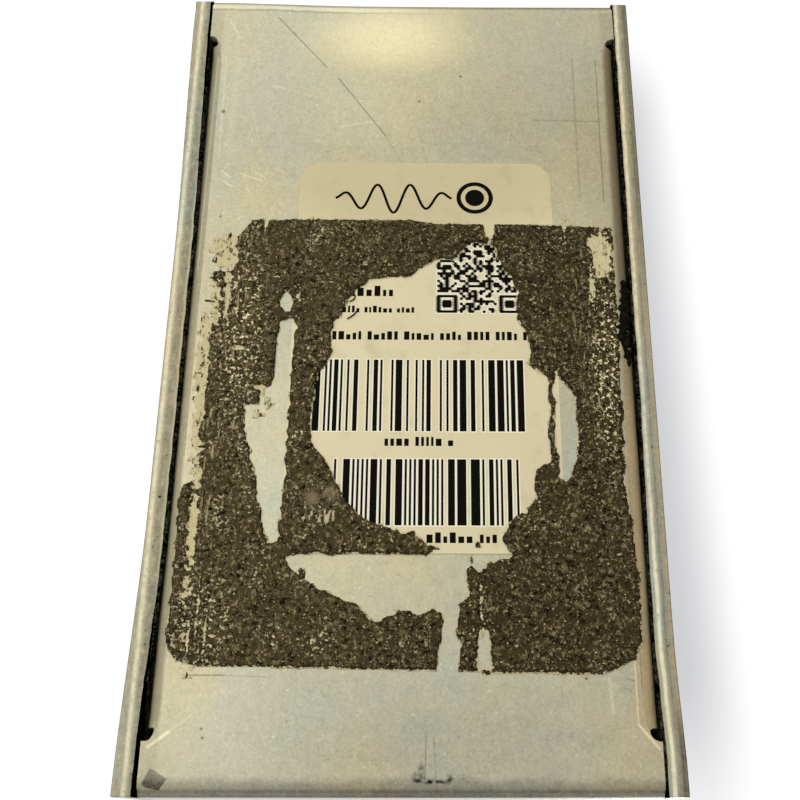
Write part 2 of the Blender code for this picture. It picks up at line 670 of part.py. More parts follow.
def indicator(materials):
    bezel = [(5 * MM, COVER_TOP + 1.0 * MM), (5 * MM, COVER_TOP + SEAT), (BEZEL_R, COVER_TOP + SEAT)]
    bezel += [(BEZEL_R, COVER_INSIDE - 2.5 * MM), (LED_R + GAP, COVER_INSIDE - 2.5 * MM)]
    bezel += [(LED_R + GAP, COVER_TOP + 0.6 * MM), (3.6 * MM, COVER_TOP + 1.3 * MM)]
    bezel += [(4.5 * MM, COVER_TOP + 1.3 * MM)]
    ring = turned("led_bezel", bezel, materials["plated"], 28, ring=True)
    ring.location.y = LED_Y
    base = COVER_INSIDE - 4.5 * MM
    middle = COVER_TOP + 0.4 * MM
    lens = [(0, middle + LED_R)]
    for i in range(1, 6):
        angle = pi / 2 * i / 5
        lens.append((LED_R * sin(angle), middle + LED_R * cos(angle)))
    lens += [(LED_R, base + MM), (LED_R + 0.2 * MM, base + MM), (LED_R + 0.2 * MM, base), (0, base)]
    led = turned("status_led", lens, materials["lens"], 24)
    led.location.y = LED_Y
    for x in (-1.27 * MM, 1.27 * MM):
        lead = box(
            "lead",
            (x - 0.25 * MM, LED_Y - 0.25 * MM, PARTS_ON_BOARD),
            (x + 0.25 * MM, LED_Y + 0.25 * MM, base + MM),
            materials["steel"],
        )
        combine(led, lead, "UNION")


def boards(materials):
    """The main board, the small board under the footswitch, and the ribbon between them."""
    box(
        "main_circuit_board",
        (-BOARD_WIDTH / 2, BOARD_FRONT, BOARD_BOTTOM),
        (BOARD_WIDTH / 2, BOARD_REAR, BOARD_TOP),
        materials["board"],
    )
    half = SWITCH_BOARD / 2
    top = LUG_BOTTOM - GAP
    box(
        "footswitch_board",
        (-half, SWITCH_Y - half, top - SWITCH_BOARD_THICK),
        (half, SWITCH_Y + half, top),
        materials["board"],
    )
    start = Vector((BOARD_FRONT + 3 * MM, BOARD_BOTTOM - GAP - 0.5 * MM))
    end = Vector((SWITCH_Y + half - 0.8 * MM, top + GAP))
    pull = Vector((-6 * MM, 0))
    path = []
    for i in range(9):
        t = i / 8
        first = start.lerp(start + pull, t).lerp((start + pull).lerp(end + Vector((0, 5 * MM)), t), t)
        second = (start + pull).lerp(end + Vector((0, 5 * MM)), t)
        second = second.lerp((end + Vector((0, 5 * MM))).lerp(end, t), t)
        path.append(tuple(first.lerp(second, t)))
    ribbon = outline("ribbon_cable", [band(path, 0.9 * MM)], -4 * MM, 4 * MM, materials["ribbon"])
    ribbon.matrix_world = Matrix.Rotation(pi / 2, 4, "Z") @ Matrix.Rotation(pi / 2, 4, "X")


def board_parts(materials):
    """The amplifier chip and three electrolytic capacitors, standing on the main board."""
    chip_at = (11 * MM, 6 * MM)
    chip = box(
        "amplifier_chip",
        (chip_at[0] - 4.8 * MM, chip_at[1] - 3.2 * MM, PARTS_ON_BOARD + 0.6 * MM),
        (chip_at[0] + 4.8 * MM, chip_at[1] + 3.2 * MM, PARTS_ON_BOARD + 4.0 * MM),
        materials["chip"],
    )
    for i in range(4):
        x = chip_at[0] + (i - 1.5) * 2.54 * MM
        for side in (1, -1):
            inner, outer = chip_at[1] + side * 2.7 * MM, chip_at[1] + side * 3.9 * MM
            leg = box(
                "leg",
                (x - 0.4 * MM, min(inner, outer), PARTS_ON_BOARD),
                (x + 0.4 * MM, max(inner, outer), PARTS_ON_BOARD + 2.2 * MM),
                materials["steel"],
            )
            combine(chip, leg, "UNION")
    cans = {"input": (-13, 12, 2.5), "supply": (-10, 42, 3.15), "output": (-14, -4, 2.5)}
    for name, (x, y, radius) in cans.items():
        r = radius * MM
        base = PARTS_ON_BOARD
        top = base + 5.4 * MM
        can = [(0, top), (r - 0.4 * MM, top), (r, top - 0.4 * MM), (r, base + 1.6 * MM)]
        can += [(r - 0.25 * MM, base + 1.3 * MM), (r, base + MM), (r, base), (0, base)]
        obj = turned(f"{name}_capacitor", can, materials["can"], 20)
        obj.location.xy = (x * MM, y * MM)


# ---------------------------------------------------------------- the whole pedal


def build():
    bare_metal = finish("satin_sheet_metal", (0.52, 0.51, 0.42), 0.38, 0.9)
    cover_metal = finish("satin_cover_metal", (0.55, 0.54, 0.47), 0.35, 0.9)
    materials = {
        "steel": finish("zinc_plated_steel", (0.62, 0.62, 0.60), 0.3, 1.0),
        "plated": finish("nickel_plate", (0.72, 0.70, 0.66), 0.2, 1.0),
        "knob": finish("black_knob_plastic", (0.03, 0.03, 0.03), 0.35),
        "jack": finish("black_nylon", (0.025, 0.025, 0.027), 0.5),
        "contact": finish("tinned_bronze", (0.75, 0.66, 0.45), 0.3, 1.0),
        "blue_nylon": finish("blue_nylon", (0.05, 0.12, 0.42), 0.45),
        "white_nylon": finish("white_nylon", (0.8, 0.79, 0.74), 0.5),
        "board": finish("green_board", (0.03, 0.18, 0.07), 0.4),
        "ribbon": finish("grey_ribbon", (0.42, 0.42, 0.43), 0.55),
        "chip": finish("black_epoxy", (0.03, 0.03, 0.03), 0.5),
        "can": finish("capacitor_sleeve", (0.04, 0.05, 0.12), 0.35),
        "lens": finish("red_lens", (0.6, 0.03, 0.02), 0.15),
    }
    base_chassis(bare_metal)
    top_cover(cover_metal)
    case_screws(materials["steel"], materials["steel"])
    underside(finish("cream_label", (0.63, 0.57, 0.40), 0.6), finish("tape_residue", (0.08, 0.065, 0.04), 0.9))
    for name, x in CONTROLS.items():
        control(name, x, materials)
    footswitch(materials)
    for name, (way, y) in JACKS.items():
        jack(name, way, y, materials)
    power_inlet(materials)
    indicator(materials)
    boards(materials)
    board_parts(materials)


for leftover in list(bpy.data.objects):
    bpy.data.objects.remove(leftover)
pedal = bpy.data.collections.new("effects_pedal")
tools = bpy.data.collections.new("cutters")
bpy.context.scene.collection.children.link(pedal)
bpy.context.scene.collection.children.link(tools)
build()
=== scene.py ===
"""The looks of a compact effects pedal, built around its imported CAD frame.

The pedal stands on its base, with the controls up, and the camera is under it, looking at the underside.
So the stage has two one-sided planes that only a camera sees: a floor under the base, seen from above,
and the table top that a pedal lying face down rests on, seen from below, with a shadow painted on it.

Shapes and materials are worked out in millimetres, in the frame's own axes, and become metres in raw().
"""

from contextlib import contextmanager
from math import cos, hypot, pi, radians, sin, sqrt

import bmesh
import bpy
import numpy as np
from mathutils import Matrix, Vector


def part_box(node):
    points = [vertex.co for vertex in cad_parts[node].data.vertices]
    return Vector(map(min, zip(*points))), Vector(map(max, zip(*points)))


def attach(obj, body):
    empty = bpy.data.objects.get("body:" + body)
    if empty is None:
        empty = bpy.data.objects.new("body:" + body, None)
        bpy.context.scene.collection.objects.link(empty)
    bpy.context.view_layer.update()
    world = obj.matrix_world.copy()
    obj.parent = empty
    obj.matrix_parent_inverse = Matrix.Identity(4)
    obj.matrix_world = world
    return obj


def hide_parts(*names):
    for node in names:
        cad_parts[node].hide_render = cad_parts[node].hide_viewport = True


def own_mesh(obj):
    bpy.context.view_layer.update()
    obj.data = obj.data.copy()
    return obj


MM = 0.001
UP, SIDEWAYS, REARWARDS = "Z", "X", "Y"

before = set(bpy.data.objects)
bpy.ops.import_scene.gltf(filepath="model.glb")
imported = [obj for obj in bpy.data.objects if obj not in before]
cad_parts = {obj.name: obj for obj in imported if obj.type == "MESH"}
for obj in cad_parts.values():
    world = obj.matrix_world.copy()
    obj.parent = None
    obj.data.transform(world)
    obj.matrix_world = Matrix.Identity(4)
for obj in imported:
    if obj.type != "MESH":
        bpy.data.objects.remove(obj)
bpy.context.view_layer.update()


def corners(node):
    """The lowest and highest corner of a CAD node, in millimetres."""
    low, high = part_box(node)
    return np.array(low) / MM, np.array(high) / MM


def middle(node):
    """The middle of a CAD node's box."""
    return sum(corners(node)) / 2


def z_span(node):
    """The lowest and highest Z of a CAD node."""
    low, high = corners(node)
    return low[2], high[2]


case_low, case_high = corners("top_cover")
HALF_WIDTH, HALF_LENGTH, TOP = case_high
PLATE = corners("base_chassis")[0][2]
SCREWS = [f"case_screw_{end}_{side}" for end in ("front", "rear") for side in ("left", "right")]
JACKS = {"input": 1, "output": -1}  # each jack's side of the case, along X
KNOBS = ("gain", "level")


# ---------------------------------------------------------------- shading nodes


def srgb(red, green, blue):
    """A colour from its 0 to 255 display values."""
    linear = [((c / 255 + 0.055) / 1.055) ** 2.4 if c > 10 else c / 255 / 12.92 for c in (red, green, blue)]
    return (*linear, 1.0)


class Nodes:
    """Adds shading nodes to one tree and joins them. A value is a number, a tuple or a socket."""

    def __init__(self, tree):
        self.tree = tree

    def join(self, value, socket):
        if isinstance(value, bpy.types.NodeSocket):
            self.tree.links.new(value, socket)
        else:
            socket.default_value = value

    def add(self, kind, inputs=(), **settings):
        node = self.tree.nodes.new("ShaderNode" + kind)
        for key, value in settings.items():
            setattr(node, key, value)
        for key, value in dict(inputs).items():
            self.join(value, node.inputs[key])
        return node

    def calc(self, operation, *values, clamp=False):
        node = self.add("Math", dict(enumerate(values)), operation=operation, use_clamp=clamp)
        return node.outputs[0]

    def total(self, first, *others):
        for value in others:
            first = self.calc("ADD", first, value)
        return first

    def most(self, first, *others):
        for value in others:
            first = self.calc("MAXIMUM", first, value)
        return first

    def times(self, first, *others):
        for value in others:
            first = self.calc("MULTIPLY", first, value)
        return first

    def vector(self, operation, *values):
        node = self.add("VectorMath", dict(enumerate(values)), operation=operation)
        number = operation in ("LENGTH", "DOT_PRODUCT", "DISTANCE")
        return node.outputs["Value" if number else "Vector"]

    def split(self, vector):
        return self.add("SeparateXYZ", {0: vector}).outputs

    def step(self, value, low, high, to_low=0.0, to_high=1.0):
        """A smooth step of value from low to high."""
        inputs = {"Value": value, "From Min": low, "From Max": high, "To Min": to_low, "To Max": to_high}
        return self.add("MapRange", inputs, interpolation_type="SMOOTHSTEP").outputs["Result"]

    def grey(self, value):
        return self.add("CombineColor", {0: value, 1: value, 2: value}).outputs[0]

    def mix(self, factor, first, second, blend="MIX"):
        node = self.add("Mix", data_type="RGBA", blend_type=blend)
        for value, socket in ((factor, 0), (first, 6), (second, 7)):
            self.join(value, node.inputs[socket])
        return node.outputs[2]


class Paint(Nodes):
    """A material on a Principled shader, whose patterns follow the piece, in millimetres."""

    def __init__(self, name, **constants):
        self.material = bpy.data.materials.new(name)
        self.material.use_nodes = True
        super().__init__(self.material.node_tree)
        self.shader = self.tree.nodes["Principled BSDF"]
        for key, value in constants.items():
            self.shader.inputs[key.replace("_", " ")].default_value = value
        place = self.add("TexCoord").outputs["Object"]
        self.at = self.vector("MULTIPLY", place, (1 / MM,) * 3)
        self.colour = None
        self.heights = []

    def put(self, key, value):
        self.join(value, self.shader.inputs[key])

    def base(self, mask, dark, light):
        """Starts the colour as a mix of two, in display values."""
        self.colour = self.mix(mask, srgb(*dark), srgb(*light))

    def coat(self, mask, *colour):
        """Lays one more colour over the rest, where mask is 1."""
        self.colour = self.mix(mask, self.colour, srgb(*colour))

    def noise(self, scale, detail=3.0, stretch=(1, 1, 1), warp=0.0, roughness=0.55):
        """Noise from 0 to 1, with features 1 / scale millimetres across, squeezed by stretch."""
        at = self.vector("MULTIPLY", self.at, stretch)
        inputs = {"Vector": at, "Scale": scale, "Detail": detail, "Roughness": roughness, "Distortion": warp}
        return self.add("TexNoise", inputs).outputs["Fac"]

    def cells(self, scale, stretch=(1, 1, 1), feature="F1"):
        at = self.vector("MULTIPLY", self.at, stretch)
        return self.add("TexVoronoi", {"Vector": at, "Scale": scale}, feature=feature).outputs["Distance"]

    def spots(self, scale, low, high, **options):
        return self.step(self.noise(scale, **options), low, high)

    def attribute(self, name):
        return self.add("Attribute", attribute_name=name).outputs["Fac"]

    def blob(self, centre, size, soft=0.6, turn=0.0):
        """1 inside a turned ellipse on the plate, falling to 0 at its edge."""
        away = self.vector("SUBTRACT", self.at, (*centre, 0))
        c, s = cos(turn), sin(turn)
        along = self.calc("DIVIDE", self.vector("DOT_PRODUCT", away, (c, s, 0)), size[0])
        across = self.calc("DIVIDE", self.vector("DOT_PRODUCT", away, (-s, c, 0)), size[1])
        reach = self.calc("SQRT", self.total(self.times(along, along), self.times(across, across)))
        return self.step(reach, 1.0, soft)

    def line_mask(self, start, end, width):
        """1 on the line from start to end, given in x and y, falling to 0 at half its width."""
        run = Vector(end) - Vector(start)
        away = self.vector("SUBTRACT", self.vector("MULTIPLY", self.at, (1, 1, 0)), (*start, 0))
        along = self.vector("DOT_PRODUCT", away, (*(run / run.length_squared), 0))
        along = self.calc("ADD", along, 0.0, clamp=True)
        node = self.add("VectorMath", {0: (*run, 0), 3: along}, operation="SCALE")
        return self.step(self.vector("DISTANCE", away, node.outputs[0]), width / 2, width / 8)

    def line_masks(self, lines):
        return self.most(*[self.times(self.line_mask(a, b, width), depth) for a, b, width, depth in lines])

    def bump(self, height, depth):
        """Adds a relief, depth millimetres deep where height goes from 0 to 1."""
        self.heights.append(self.times(height, depth * MM))

    def done(self):
        if self.colour:
            self.put("Base Color", self.colour)
        if self.heights:
            inputs = {"Height": self.total(*self.heights), "Strength": 1.0, "Distance": 1.0}
            self.put("Normal", self.add("Bump", inputs).outputs["Normal"])
        return self.material


# ---------------------------------------------------------------- mesh helpers


def settle(obj, material, body, stands_for=(), sharp=35):
    """Gives a finished mesh its material and shading, and puts it in the frame."""
    obj.data.materials.clear()
    obj.data.materials.append(material)
    obj.data.shade_smooth()
    obj.data.set_sharp_from_angle(angle=radians(sharp))
    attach(obj, body)
    if stands_for:
        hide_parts(*stands_for)
    return obj


def linked(name, data):
    """A new object in the scene."""
    obj = bpy.data.objects.new(name, data)
    bpy.context.scene.collection.objects.link(obj)
    return obj


def raw(name, points, faces):
    """An object from points in millimetres and the faces between them."""
    mesh = bpy.data.meshes.new(name)
    mesh.from_pydata([tuple(p) for p in np.asarray(points, float) * MM], [], [tuple(f) for f in faces])
    return linked(name, mesh)


def piece(name, shape, material, body, stands_for=(), place=None, sharp=35):
    """One visible piece: shape is its points and faces, and place the matrix that sets it in the frame."""
    obj = raw(name, *shape)
    if place is not None:
        obj.data.transform(place)
    return settle(obj, material, body, stands_for, sharp)


def loft(rings, capped=True, looped=False):
    """Quads between rings of equally many points. A looped loft joins its last ring to its first."""
    rings = np.asarray(rings, float)
    count, around = rings.shape[:2]
    faces = []
    for i in range(count if looped else count - 1):
        first, second = i * around, (i + 1) % count * around
        for j in range(around):
            k = (j + 1) % around
            faces.append((first + j, first + k, second + k, second + j))
    if capped and not looped:
        faces.append(tuple(reversed(range(around))))
        faces.append(tuple((count - 1) * around + j for j in range(around)))
    return rings.reshape(-1, 3), faces


def runs(path):
    """For each point of a path, the step from the point before it to the one after it."""
    path = np.asarray(path, float)
    last = len(path) - 1
    return [path[min(i + 1, last)] - path[max(i - 1, 0)] for i in range(last + 1)]


def turned(profile, steps=48, looped=False, radius=None, height=None):
    """A profile of (radius, z) going upwards outside, turned about Z. radius and height may change each point."""
    rings = []
    for r, z in profile:
        ring = []
        for j in range(steps):
            angle = 2 * pi * j / steps
            reach = radius(r, z, angle) if radius else r
            rise = height(r, z, angle) if height else z
            ring.append((reach * cos(angle), reach * sin(angle), rise))
        rings.append(ring)
    return loft(rings, looped=looped)


def joined(*shapes):
    """Several shapes as one."""
    points, faces, start = [], [], 0
    for some_points, some_faces in shapes:
        points.append(np.asarray(some_points, float))
        faces += [tuple(start + i for i in face) for face in some_faces]
        start += len(some_points)
    return np.concatenate(points), faces


def block(low, high):
    """A closed box between two corners."""
    x, y, z = zip(low, high)
    rings = [[(x[i], y[j], level) for i, j in ((0, 0), (1, 0), (1, 1), (0, 1))] for level in z]
    return loft(rings)


def rounded_outline(low, high, radius, steps=10):
    """The points of a rectangle with round corners."""
    points = []
    centres = [(high[0], high[1], 0), (low[0], high[1], 1), (low[0], low[1], 2), (high[0], low[1], 3)]
    for x, y, quarter in centres:
        cx = x - radius if quarter in (0, 3) else x + radius
        cy = y - radius if quarter in (0, 1) else y + radius
        for i in range(steps + 1):
            angle = pi / 2 * (quarter + i / steps)
            points.append((cx + radius * cos(angle), cy + radius * sin(angle)))
    return points


def on_axis(at, axis=UP, way=1):
    """The matrix that lays a piece made along +Z onto an axis through at, in millimetres."""
    turn = {
        (UP, 1): Matrix.Identity(4),
        (UP, -1): Matrix.Rotation(pi, 4, "X"),
        (SIDEWAYS, 1): Matrix.Rotation(pi / 2, 4, "Y"),
        (SIDEWAYS, -1): Matrix.Rotation(-pi / 2, 4, "Y"),
        (REARWARDS, 1): Matrix.Rotation(-pi / 2, 4, "X"),
        (REARWARDS, -1): Matrix.Rotation(pi / 2, 4, "X"),
    }[axis, way]
    return Matrix.Translation(Vector(at) * MM) @ turn


def on_side(node, way, out=None):
    """The matrix that lays a piece across a side wall, through a CAD node, from X = out or the wall's face."""
    _, y, z = middle(node)
    return on_axis((way * HALF_WIDTH if out is None else out, y, z), SIDEWAYS, way)


def upright(node):
    """The matrix that stands a piece on Z = 0 in the middle of a CAD node."""
    x, y, _ = middle(node)
    return on_axis((x, y, 0))


@contextmanager
def edited(mesh):
    """Opens a mesh for editing and puts the result back."""
    bm = bmesh.new()
    bm.from_mesh(mesh)
    yield bm
    bm.to_mesh(mesh)
    bm.free()


def modify(obj, kind, **settings):
    """Puts obj's mesh through one modifier."""
    step = obj.modifiers.new(kind, kind)
    for key, value in settings.items():
        setattr(step, key, value)
    bpy.context.view_layer.update()
    seen = obj.evaluated_get(bpy.context.evaluated_depsgraph_get())
    mesh = bpy.data.meshes.new_from_object(seen)
    obj.modifiers.clear()
    obj.data = mesh


def cut(obj, shape, place=None, operation="DIFFERENCE"):
    """Cuts a closed shape out of obj, or joins it on, and keeps the result as obj's mesh."""
    tool = raw("tool", *shape)
    if place is not None:
        tool.data.transform(place)
    with edited(tool.data) as bm:
        bmesh.ops.recalc_face_normals(bm, faces=bm.faces)
    modify(obj, "BOOLEAN", operation=operation, object=tool)
    bpy.data.objects.remove(tool)


def bevel(obj, width, segments=2):
    modify(obj, "BEVEL", width=width * MM, segments=segments, limit_method="ANGLE", angle_limit=radians(40))


def round_edges(obj, width, chosen):
    """Rounds the sharp edges whose middles, in millimetres, are chosen."""
    with edited(obj.data) as bm:
        edges = []
        for edge in bm.edges:
            at = (edge.verts[0].co + edge.verts[1].co) / (2 * MM)
            if len(edge.link_faces) == 2 and edge.calc_face_angle() > 1 and chosen(at):
                edges.append(edge)
        bmesh.ops.bevel(
            bm, geom=edges, offset=width * MM, segments=5, profile=0.5, affect="EDGES", clamp_overlap=True
        )


# ---------------------------------------------------------------- camera, stage and light

CAMERA_AT = (-3.06, -54.13, PLATE - 119.09)
CAMERA_LOOKS = (-0.00996, 0.36646, 0.93038)
CAMERA_UP = (0.00432, 0.93043, -0.36643)
LAMP_TINT = (1.0, 0.975, 0.85)
STAGE_HALF = 1500


def camera():
    """Under the pedal and a little in front of it, looking up at the underside."""
    data = bpy.data.cameras.new("camera")
    data.sensor_width = 36
    data.lens = 49.26
    data.shift_x = -0.0549
    data.shift_y = 0.0016
    data.clip_start = 0.005
    obj = linked("camera", data)
    back = -Vector(CAMERA_LOOKS).normalized()
    right = Vector(CAMERA_UP).cross(back).normalized()
    axes = Matrix((right, back.cross(right), back)).transposed()
    obj.matrix_world = Matrix.Translation(Vector(CAMERA_AT) * MM) @ axes.to_4x4()
    bpy.context.scene.camera = obj
    bpy.context.scene.view_settings.view_transform = "Standard"


def sky():
    """Soft light from all round: bright straight below, brown and dim near the horizon, pale above."""
    world = bpy.data.worlds.new("studio")
    world.use_nodes = True
    bpy.context.scene.world = world
    nodes = Nodes(world.node_tree)
    mix, step, times = nodes.mix, nodes.step, nodes.times
    way = nodes.add("TexCoord").outputs["Generated"]
    x, y, z = nodes.split(way)

    def glow(direction, near, full, strength):
        towards = nodes.vector("DOT_PRODUCT", way, tuple(Vector(direction).normalized()))
        return step(towards, near, full, 0.0, strength)

    def lit(colour, amount, light):
        return mix(1.0, colour, mix(amount, (0, 0, 0, 1), light), "ADD")

    rear_glow = glow((0.02, 0.66, -0.75), 0.955, 0.998, 0.6)
    rim_glow = glow((0.3, 0.86, -0.42), 0.93, 0.99, 0.9)
    left_glow = glow((0.34, 0.05, -0.93), 0.90, 0.99, 0.3)
    bright = nodes.total(0.94, step(x, -0.5, 0.5, -0.2, 0.2), left_glow)
    beside = step(nodes.calc("ABSOLUTE", x), 0.45, 0.8)
    low = mix(step(x, -0.6, 0.6), (0.26, 0.19, 0.11, 1), (0.30, 0.27, 0.21, 1))
    below = mix(1.0, (*LAMP_TINT, 1), nodes.grey(nodes.most(bright, 0.1)), "MULTIPLY")
    clear = times(step(z, -0.2, -0.62), nodes.calc("SUBTRACT", 1.0, times(beside, 0.75)))
    below = lit(below, rear_glow, (1.0, 0.93, 0.68, 1))
    under = lit(mix(clear, low, below), rim_glow, (1.0, 0.93, 0.72, 1))
    above = nodes.grey(nodes.total(0.8, times(x, 0.15), times(y, -0.2), times(z, 0.2)))
    light = mix(step(z, -0.06, 0.2), under, above)
    seen = nodes.add("LightPath").outputs["Is Camera Ray"]
    background = world.node_tree.nodes["Background"]
    nodes.join(mix(seen, light, (0.93, 0.93, 0.92, 1)), background.inputs["Color"])


def lamp(name, at, aim, size, watts, tint=(1, 1, 1)):
    data = bpy.data.lights.new(name, "AREA")
    data.size = size * MM
    data.energy = watts
    data.color = tint
    obj = linked(name, data)
    obj.location = Vector(at) * MM
    obj.rotation_euler = (Vector(at) - Vector(aim)).to_track_quat("Z", "Y").to_euler()
    obj.visible_camera = False


def plane(name, height, faces_up, material):
    """A stage plane that only a camera sees, and only from its front."""
    points = [(x * STAGE_HALF, y * STAGE_HALF, height) for x, y in ((-1, -1), (1, -1), (1, 1), (-1, 1))]
    obj = raw(name, points, [(0, 1, 2, 3) if faces_up else (3, 2, 1, 0)])
    obj.data.materials.append(material)
    obj.visible_shadow = obj.visible_diffuse = obj.visible_glossy = False
    obj.visible_transmission = obj.visible_volume_scatter = False


def one_sided(paint, shader):
    """Lets the camera through where it meets the back of the plane."""
    behind = paint.add("NewGeometry").outputs["Backfacing"]
    clear = paint.add("BsdfTransparent").outputs[0]
    node = paint.add("MixShader", {0: behind, 1: shader, 2: clear})
    paint.join(node.outputs[0], paint.tree.nodes["Material Output"].inputs["Surface"])
    return paint.material


def stage():
    """The two planes, a shadow painted on the table top beside the pedal, and lamps to a side of the underside and
    over the top.
    """
    floor = Paint("pale_floor", Roughness=0.9)
    floor.put("Base Color", floor.mix(floor.noise(0.02), (0.80, 0.80, 0.79, 1), (0.84, 0.84, 0.83, 1)))
    plane("floor", 0, True, one_sided(floor, floor.shader.outputs[0]))

    table = Paint("white_table")
    x, y, _ = table.split(table.at)
    # A shadow painted on the table top, beside the pedal's -X side.
    leaning = table.total(x, table.times(y, -0.035))
    beside = table.times(table.step(leaning, -52, -39), table.step(y, 90, 66), table.step(y, -66, -30))
    shadow = table.mix(table.times(beside, table.step(x, 0, -20)), (1.05, 1.05, 1.05, 1), (0.62, 0.625, 0.64, 1))
    glow = table.add("Emission", {"Color": shadow, "Strength": 1.0}).outputs[0]
    plane("table_top", corners("gain_knob")[1][2] + 1, False, one_sided(table, glow))

    lamp("window", (260, 60, -190), (0, 0, 0), 240, 0.12, LAMP_TINT)
    lamp("key", (-260, -220, 420), (0, 0, 20), 260, 2.2, (1.0, 0.98, 0.94))
    lamp("rim", (280, 320, 260), (0, 0, 20), 200, 1.2)


# ---------------------------------------------------------------- the folded case

# A pair of values is for the +X and -X sides, or for the rear and the front.
TRAY_SHEET, COVER_SHEET = 1.1, 1.8
FLANGE_OUTSIDE = {1: 26.85, -1: 27.0}  # how far each flange's outer face is from the middle
FLANGE_TOP = 10.0
FLANGE_HALF = 43.9  # half the length of a flange
SIDE_BEND = {1: 1.85, -1: 1.7}
RUNOUT_FROM, RUNOUT = 41.4, 1.3  # from here to the ears, the side bends move outwards in an arc
EAR_FROM = 45.3  # the ears of the plate start here
EAR_OUTSIDE = {1: 27.15, -1: 27.2}
EAR_STEPS = 10  # how many steps of a bend's arc an ear has
NOTCH = 1.05  # how far up a bend the round notch between flange and ear starts
NOTCH_DEPTH = {1: 0.35, -1: 0.8}  # how much of the bend below it the notch takes in
NOTCH_END = 1.2  # the part of a bend that the notch pulls in ends here
NOTCH_ROWS = (44.05, 44.25, 44.6, 44.95, 45.15)
END_AT = {1: HALF_LENGTH + 0.25, -1: HALF_LENGTH}
END_BEND = {1: 1.35, -1: 1.6}
COVER_BEND = 2.6
COVER_ROWS = 29
# How far the cover's lower edges bow out: a start, and rises as (from, to, height) along Y.
COVER_BOW = {1: (-0.28, (12, 50, 0.55), (-20, -52, 0.85)), -1: (0, (-34, -50, 0.45))}
ARC_STEPS = 12
HOLE_STEPS = 7  # steps along each side of the patch of grid lines round a hole
HOLE_PATCH = 1.3  # how many times wider than its hole that patch is
SCREW_HOLE, SCREW_SEAT = 1.8, 3.1  # radii
INLET_HOLE = (4.75, 5.0)
JACK_HOLE = 5.0
TOP_HOLES = {"gain_pot_shaft": 4.3, "level_pot_shaft": 4.3, "status_led": 4.2, "footswitch_plunger": 6.3}


def arc_columns(start, radius, rise):
    """Distances along a sheet that is flat to start, bends up by a quarter turn and ends at a rise."""
    arc = pi / 2 * radius
    flat = list(np.linspace(0, start, 9))
    bend = [start + arc * i / ARC_STEPS for i in range(1, ARC_STEPS + 1)]
    wall = list(np.linspace(start + arc, start + arc + rise - radius, 4))[1:]
    return flat + bend + wall


def folded(distance, start, radius):
    """(across, up) of a point that lies this far along such a sheet, measured outside it."""
    if distance <= start:
        return distance, 0.0
    angle = min((distance - start) / radius, pi / 2)
    past = max(distance - start - pi / 2 * radius, 0)
    return start + radius * sin(angle), radius * (1 - cos(angle)) + past


def smooth(t, low, high):
    """A smooth step from 0 to 1, as t goes from low to high."""
    t = min(max((t - low) / (high - low), 0.0), 1.0)
    return t * t * (3 - 2 * t)


def sheet_grid(columns, rows, place, keep):
    """The outer skin of a sheet on a grid of columns and rows, without the cells that keep refuses."""
    points = [place(s, t) for t in rows for s in columns]
    wide = len(columns)
    faces = []
    for j in range(len(rows) - 1):
        for i in range(wide - 1):
            if keep((columns[i] + columns[i + 1]) / 2, (rows[j] + rows[j + 1]) / 2):
                start = j * wide + i
                faces.append((start, start + 1, start + 1 + wide, start + wide))
    return points, faces


def thicken(obj, thickness):
    """Turns a skin whose faces point outwards into a sheet, inwards by its thickness."""
    with edited(obj.data) as bm:
        bmesh.ops.delete(bm, geom=[v for v in bm.verts if not v.link_faces], context="VERTS")
        bmesh.ops.recalc_face_normals(bm, faces=bm.faces)
    modify(obj, "SOLIDIFY", thickness=thickness * MM, offset=-1, use_even_offset=True)


def punched(points, faces, columns, rows, place, holes):
    """Round holes in a grid made by sheet_grid: each is (s, t, half sizes along s and t)."""
    wide = len(columns)

    def patch(lines, centre, half):
        ends = (centre - HOLE_PATCH * half, centre + HOLE_PATCH * half)
        return [int(np.argmin(np.abs(np.array(lines) - end))) for end in ends]

    for s, t, half_s, half_t in holes:
        (first_i, last_i), (first_j, last_j) = patch(columns, s, half_s), patch(rows, t, half_t)
        inside = {j * wide + i for i in range(first_i, last_i) for j in range(first_j, last_j)}
        faces = [face for face in faces if face[0] not in inside]
        rim = [(i, first_j) for i in range(first_i, last_i)] + [(last_i, j) for j in range(first_j, last_j)]
        rim += [(i, last_j) for i in range(last_i, first_i, -1)] + [(first_i, j) for j in range(last_j, first_j, -1)]
        start = len(points)
        for i, j in rim:
            across, along = (columns[i] - s) / half_s, (rows[j] - t) / half_t
            size = hypot(across, along)
            points.append(place(s + half_s * across / size, t + half_t * along / size))
        for n, (i, j) in enumerate(rim):
            k, m = rim[(n + 1) % len(rim)]
            following = start + (n + 1) % len(rim)
            faces.append((j * wide + i, m * wide + k, following, start + n))
    return points, faces


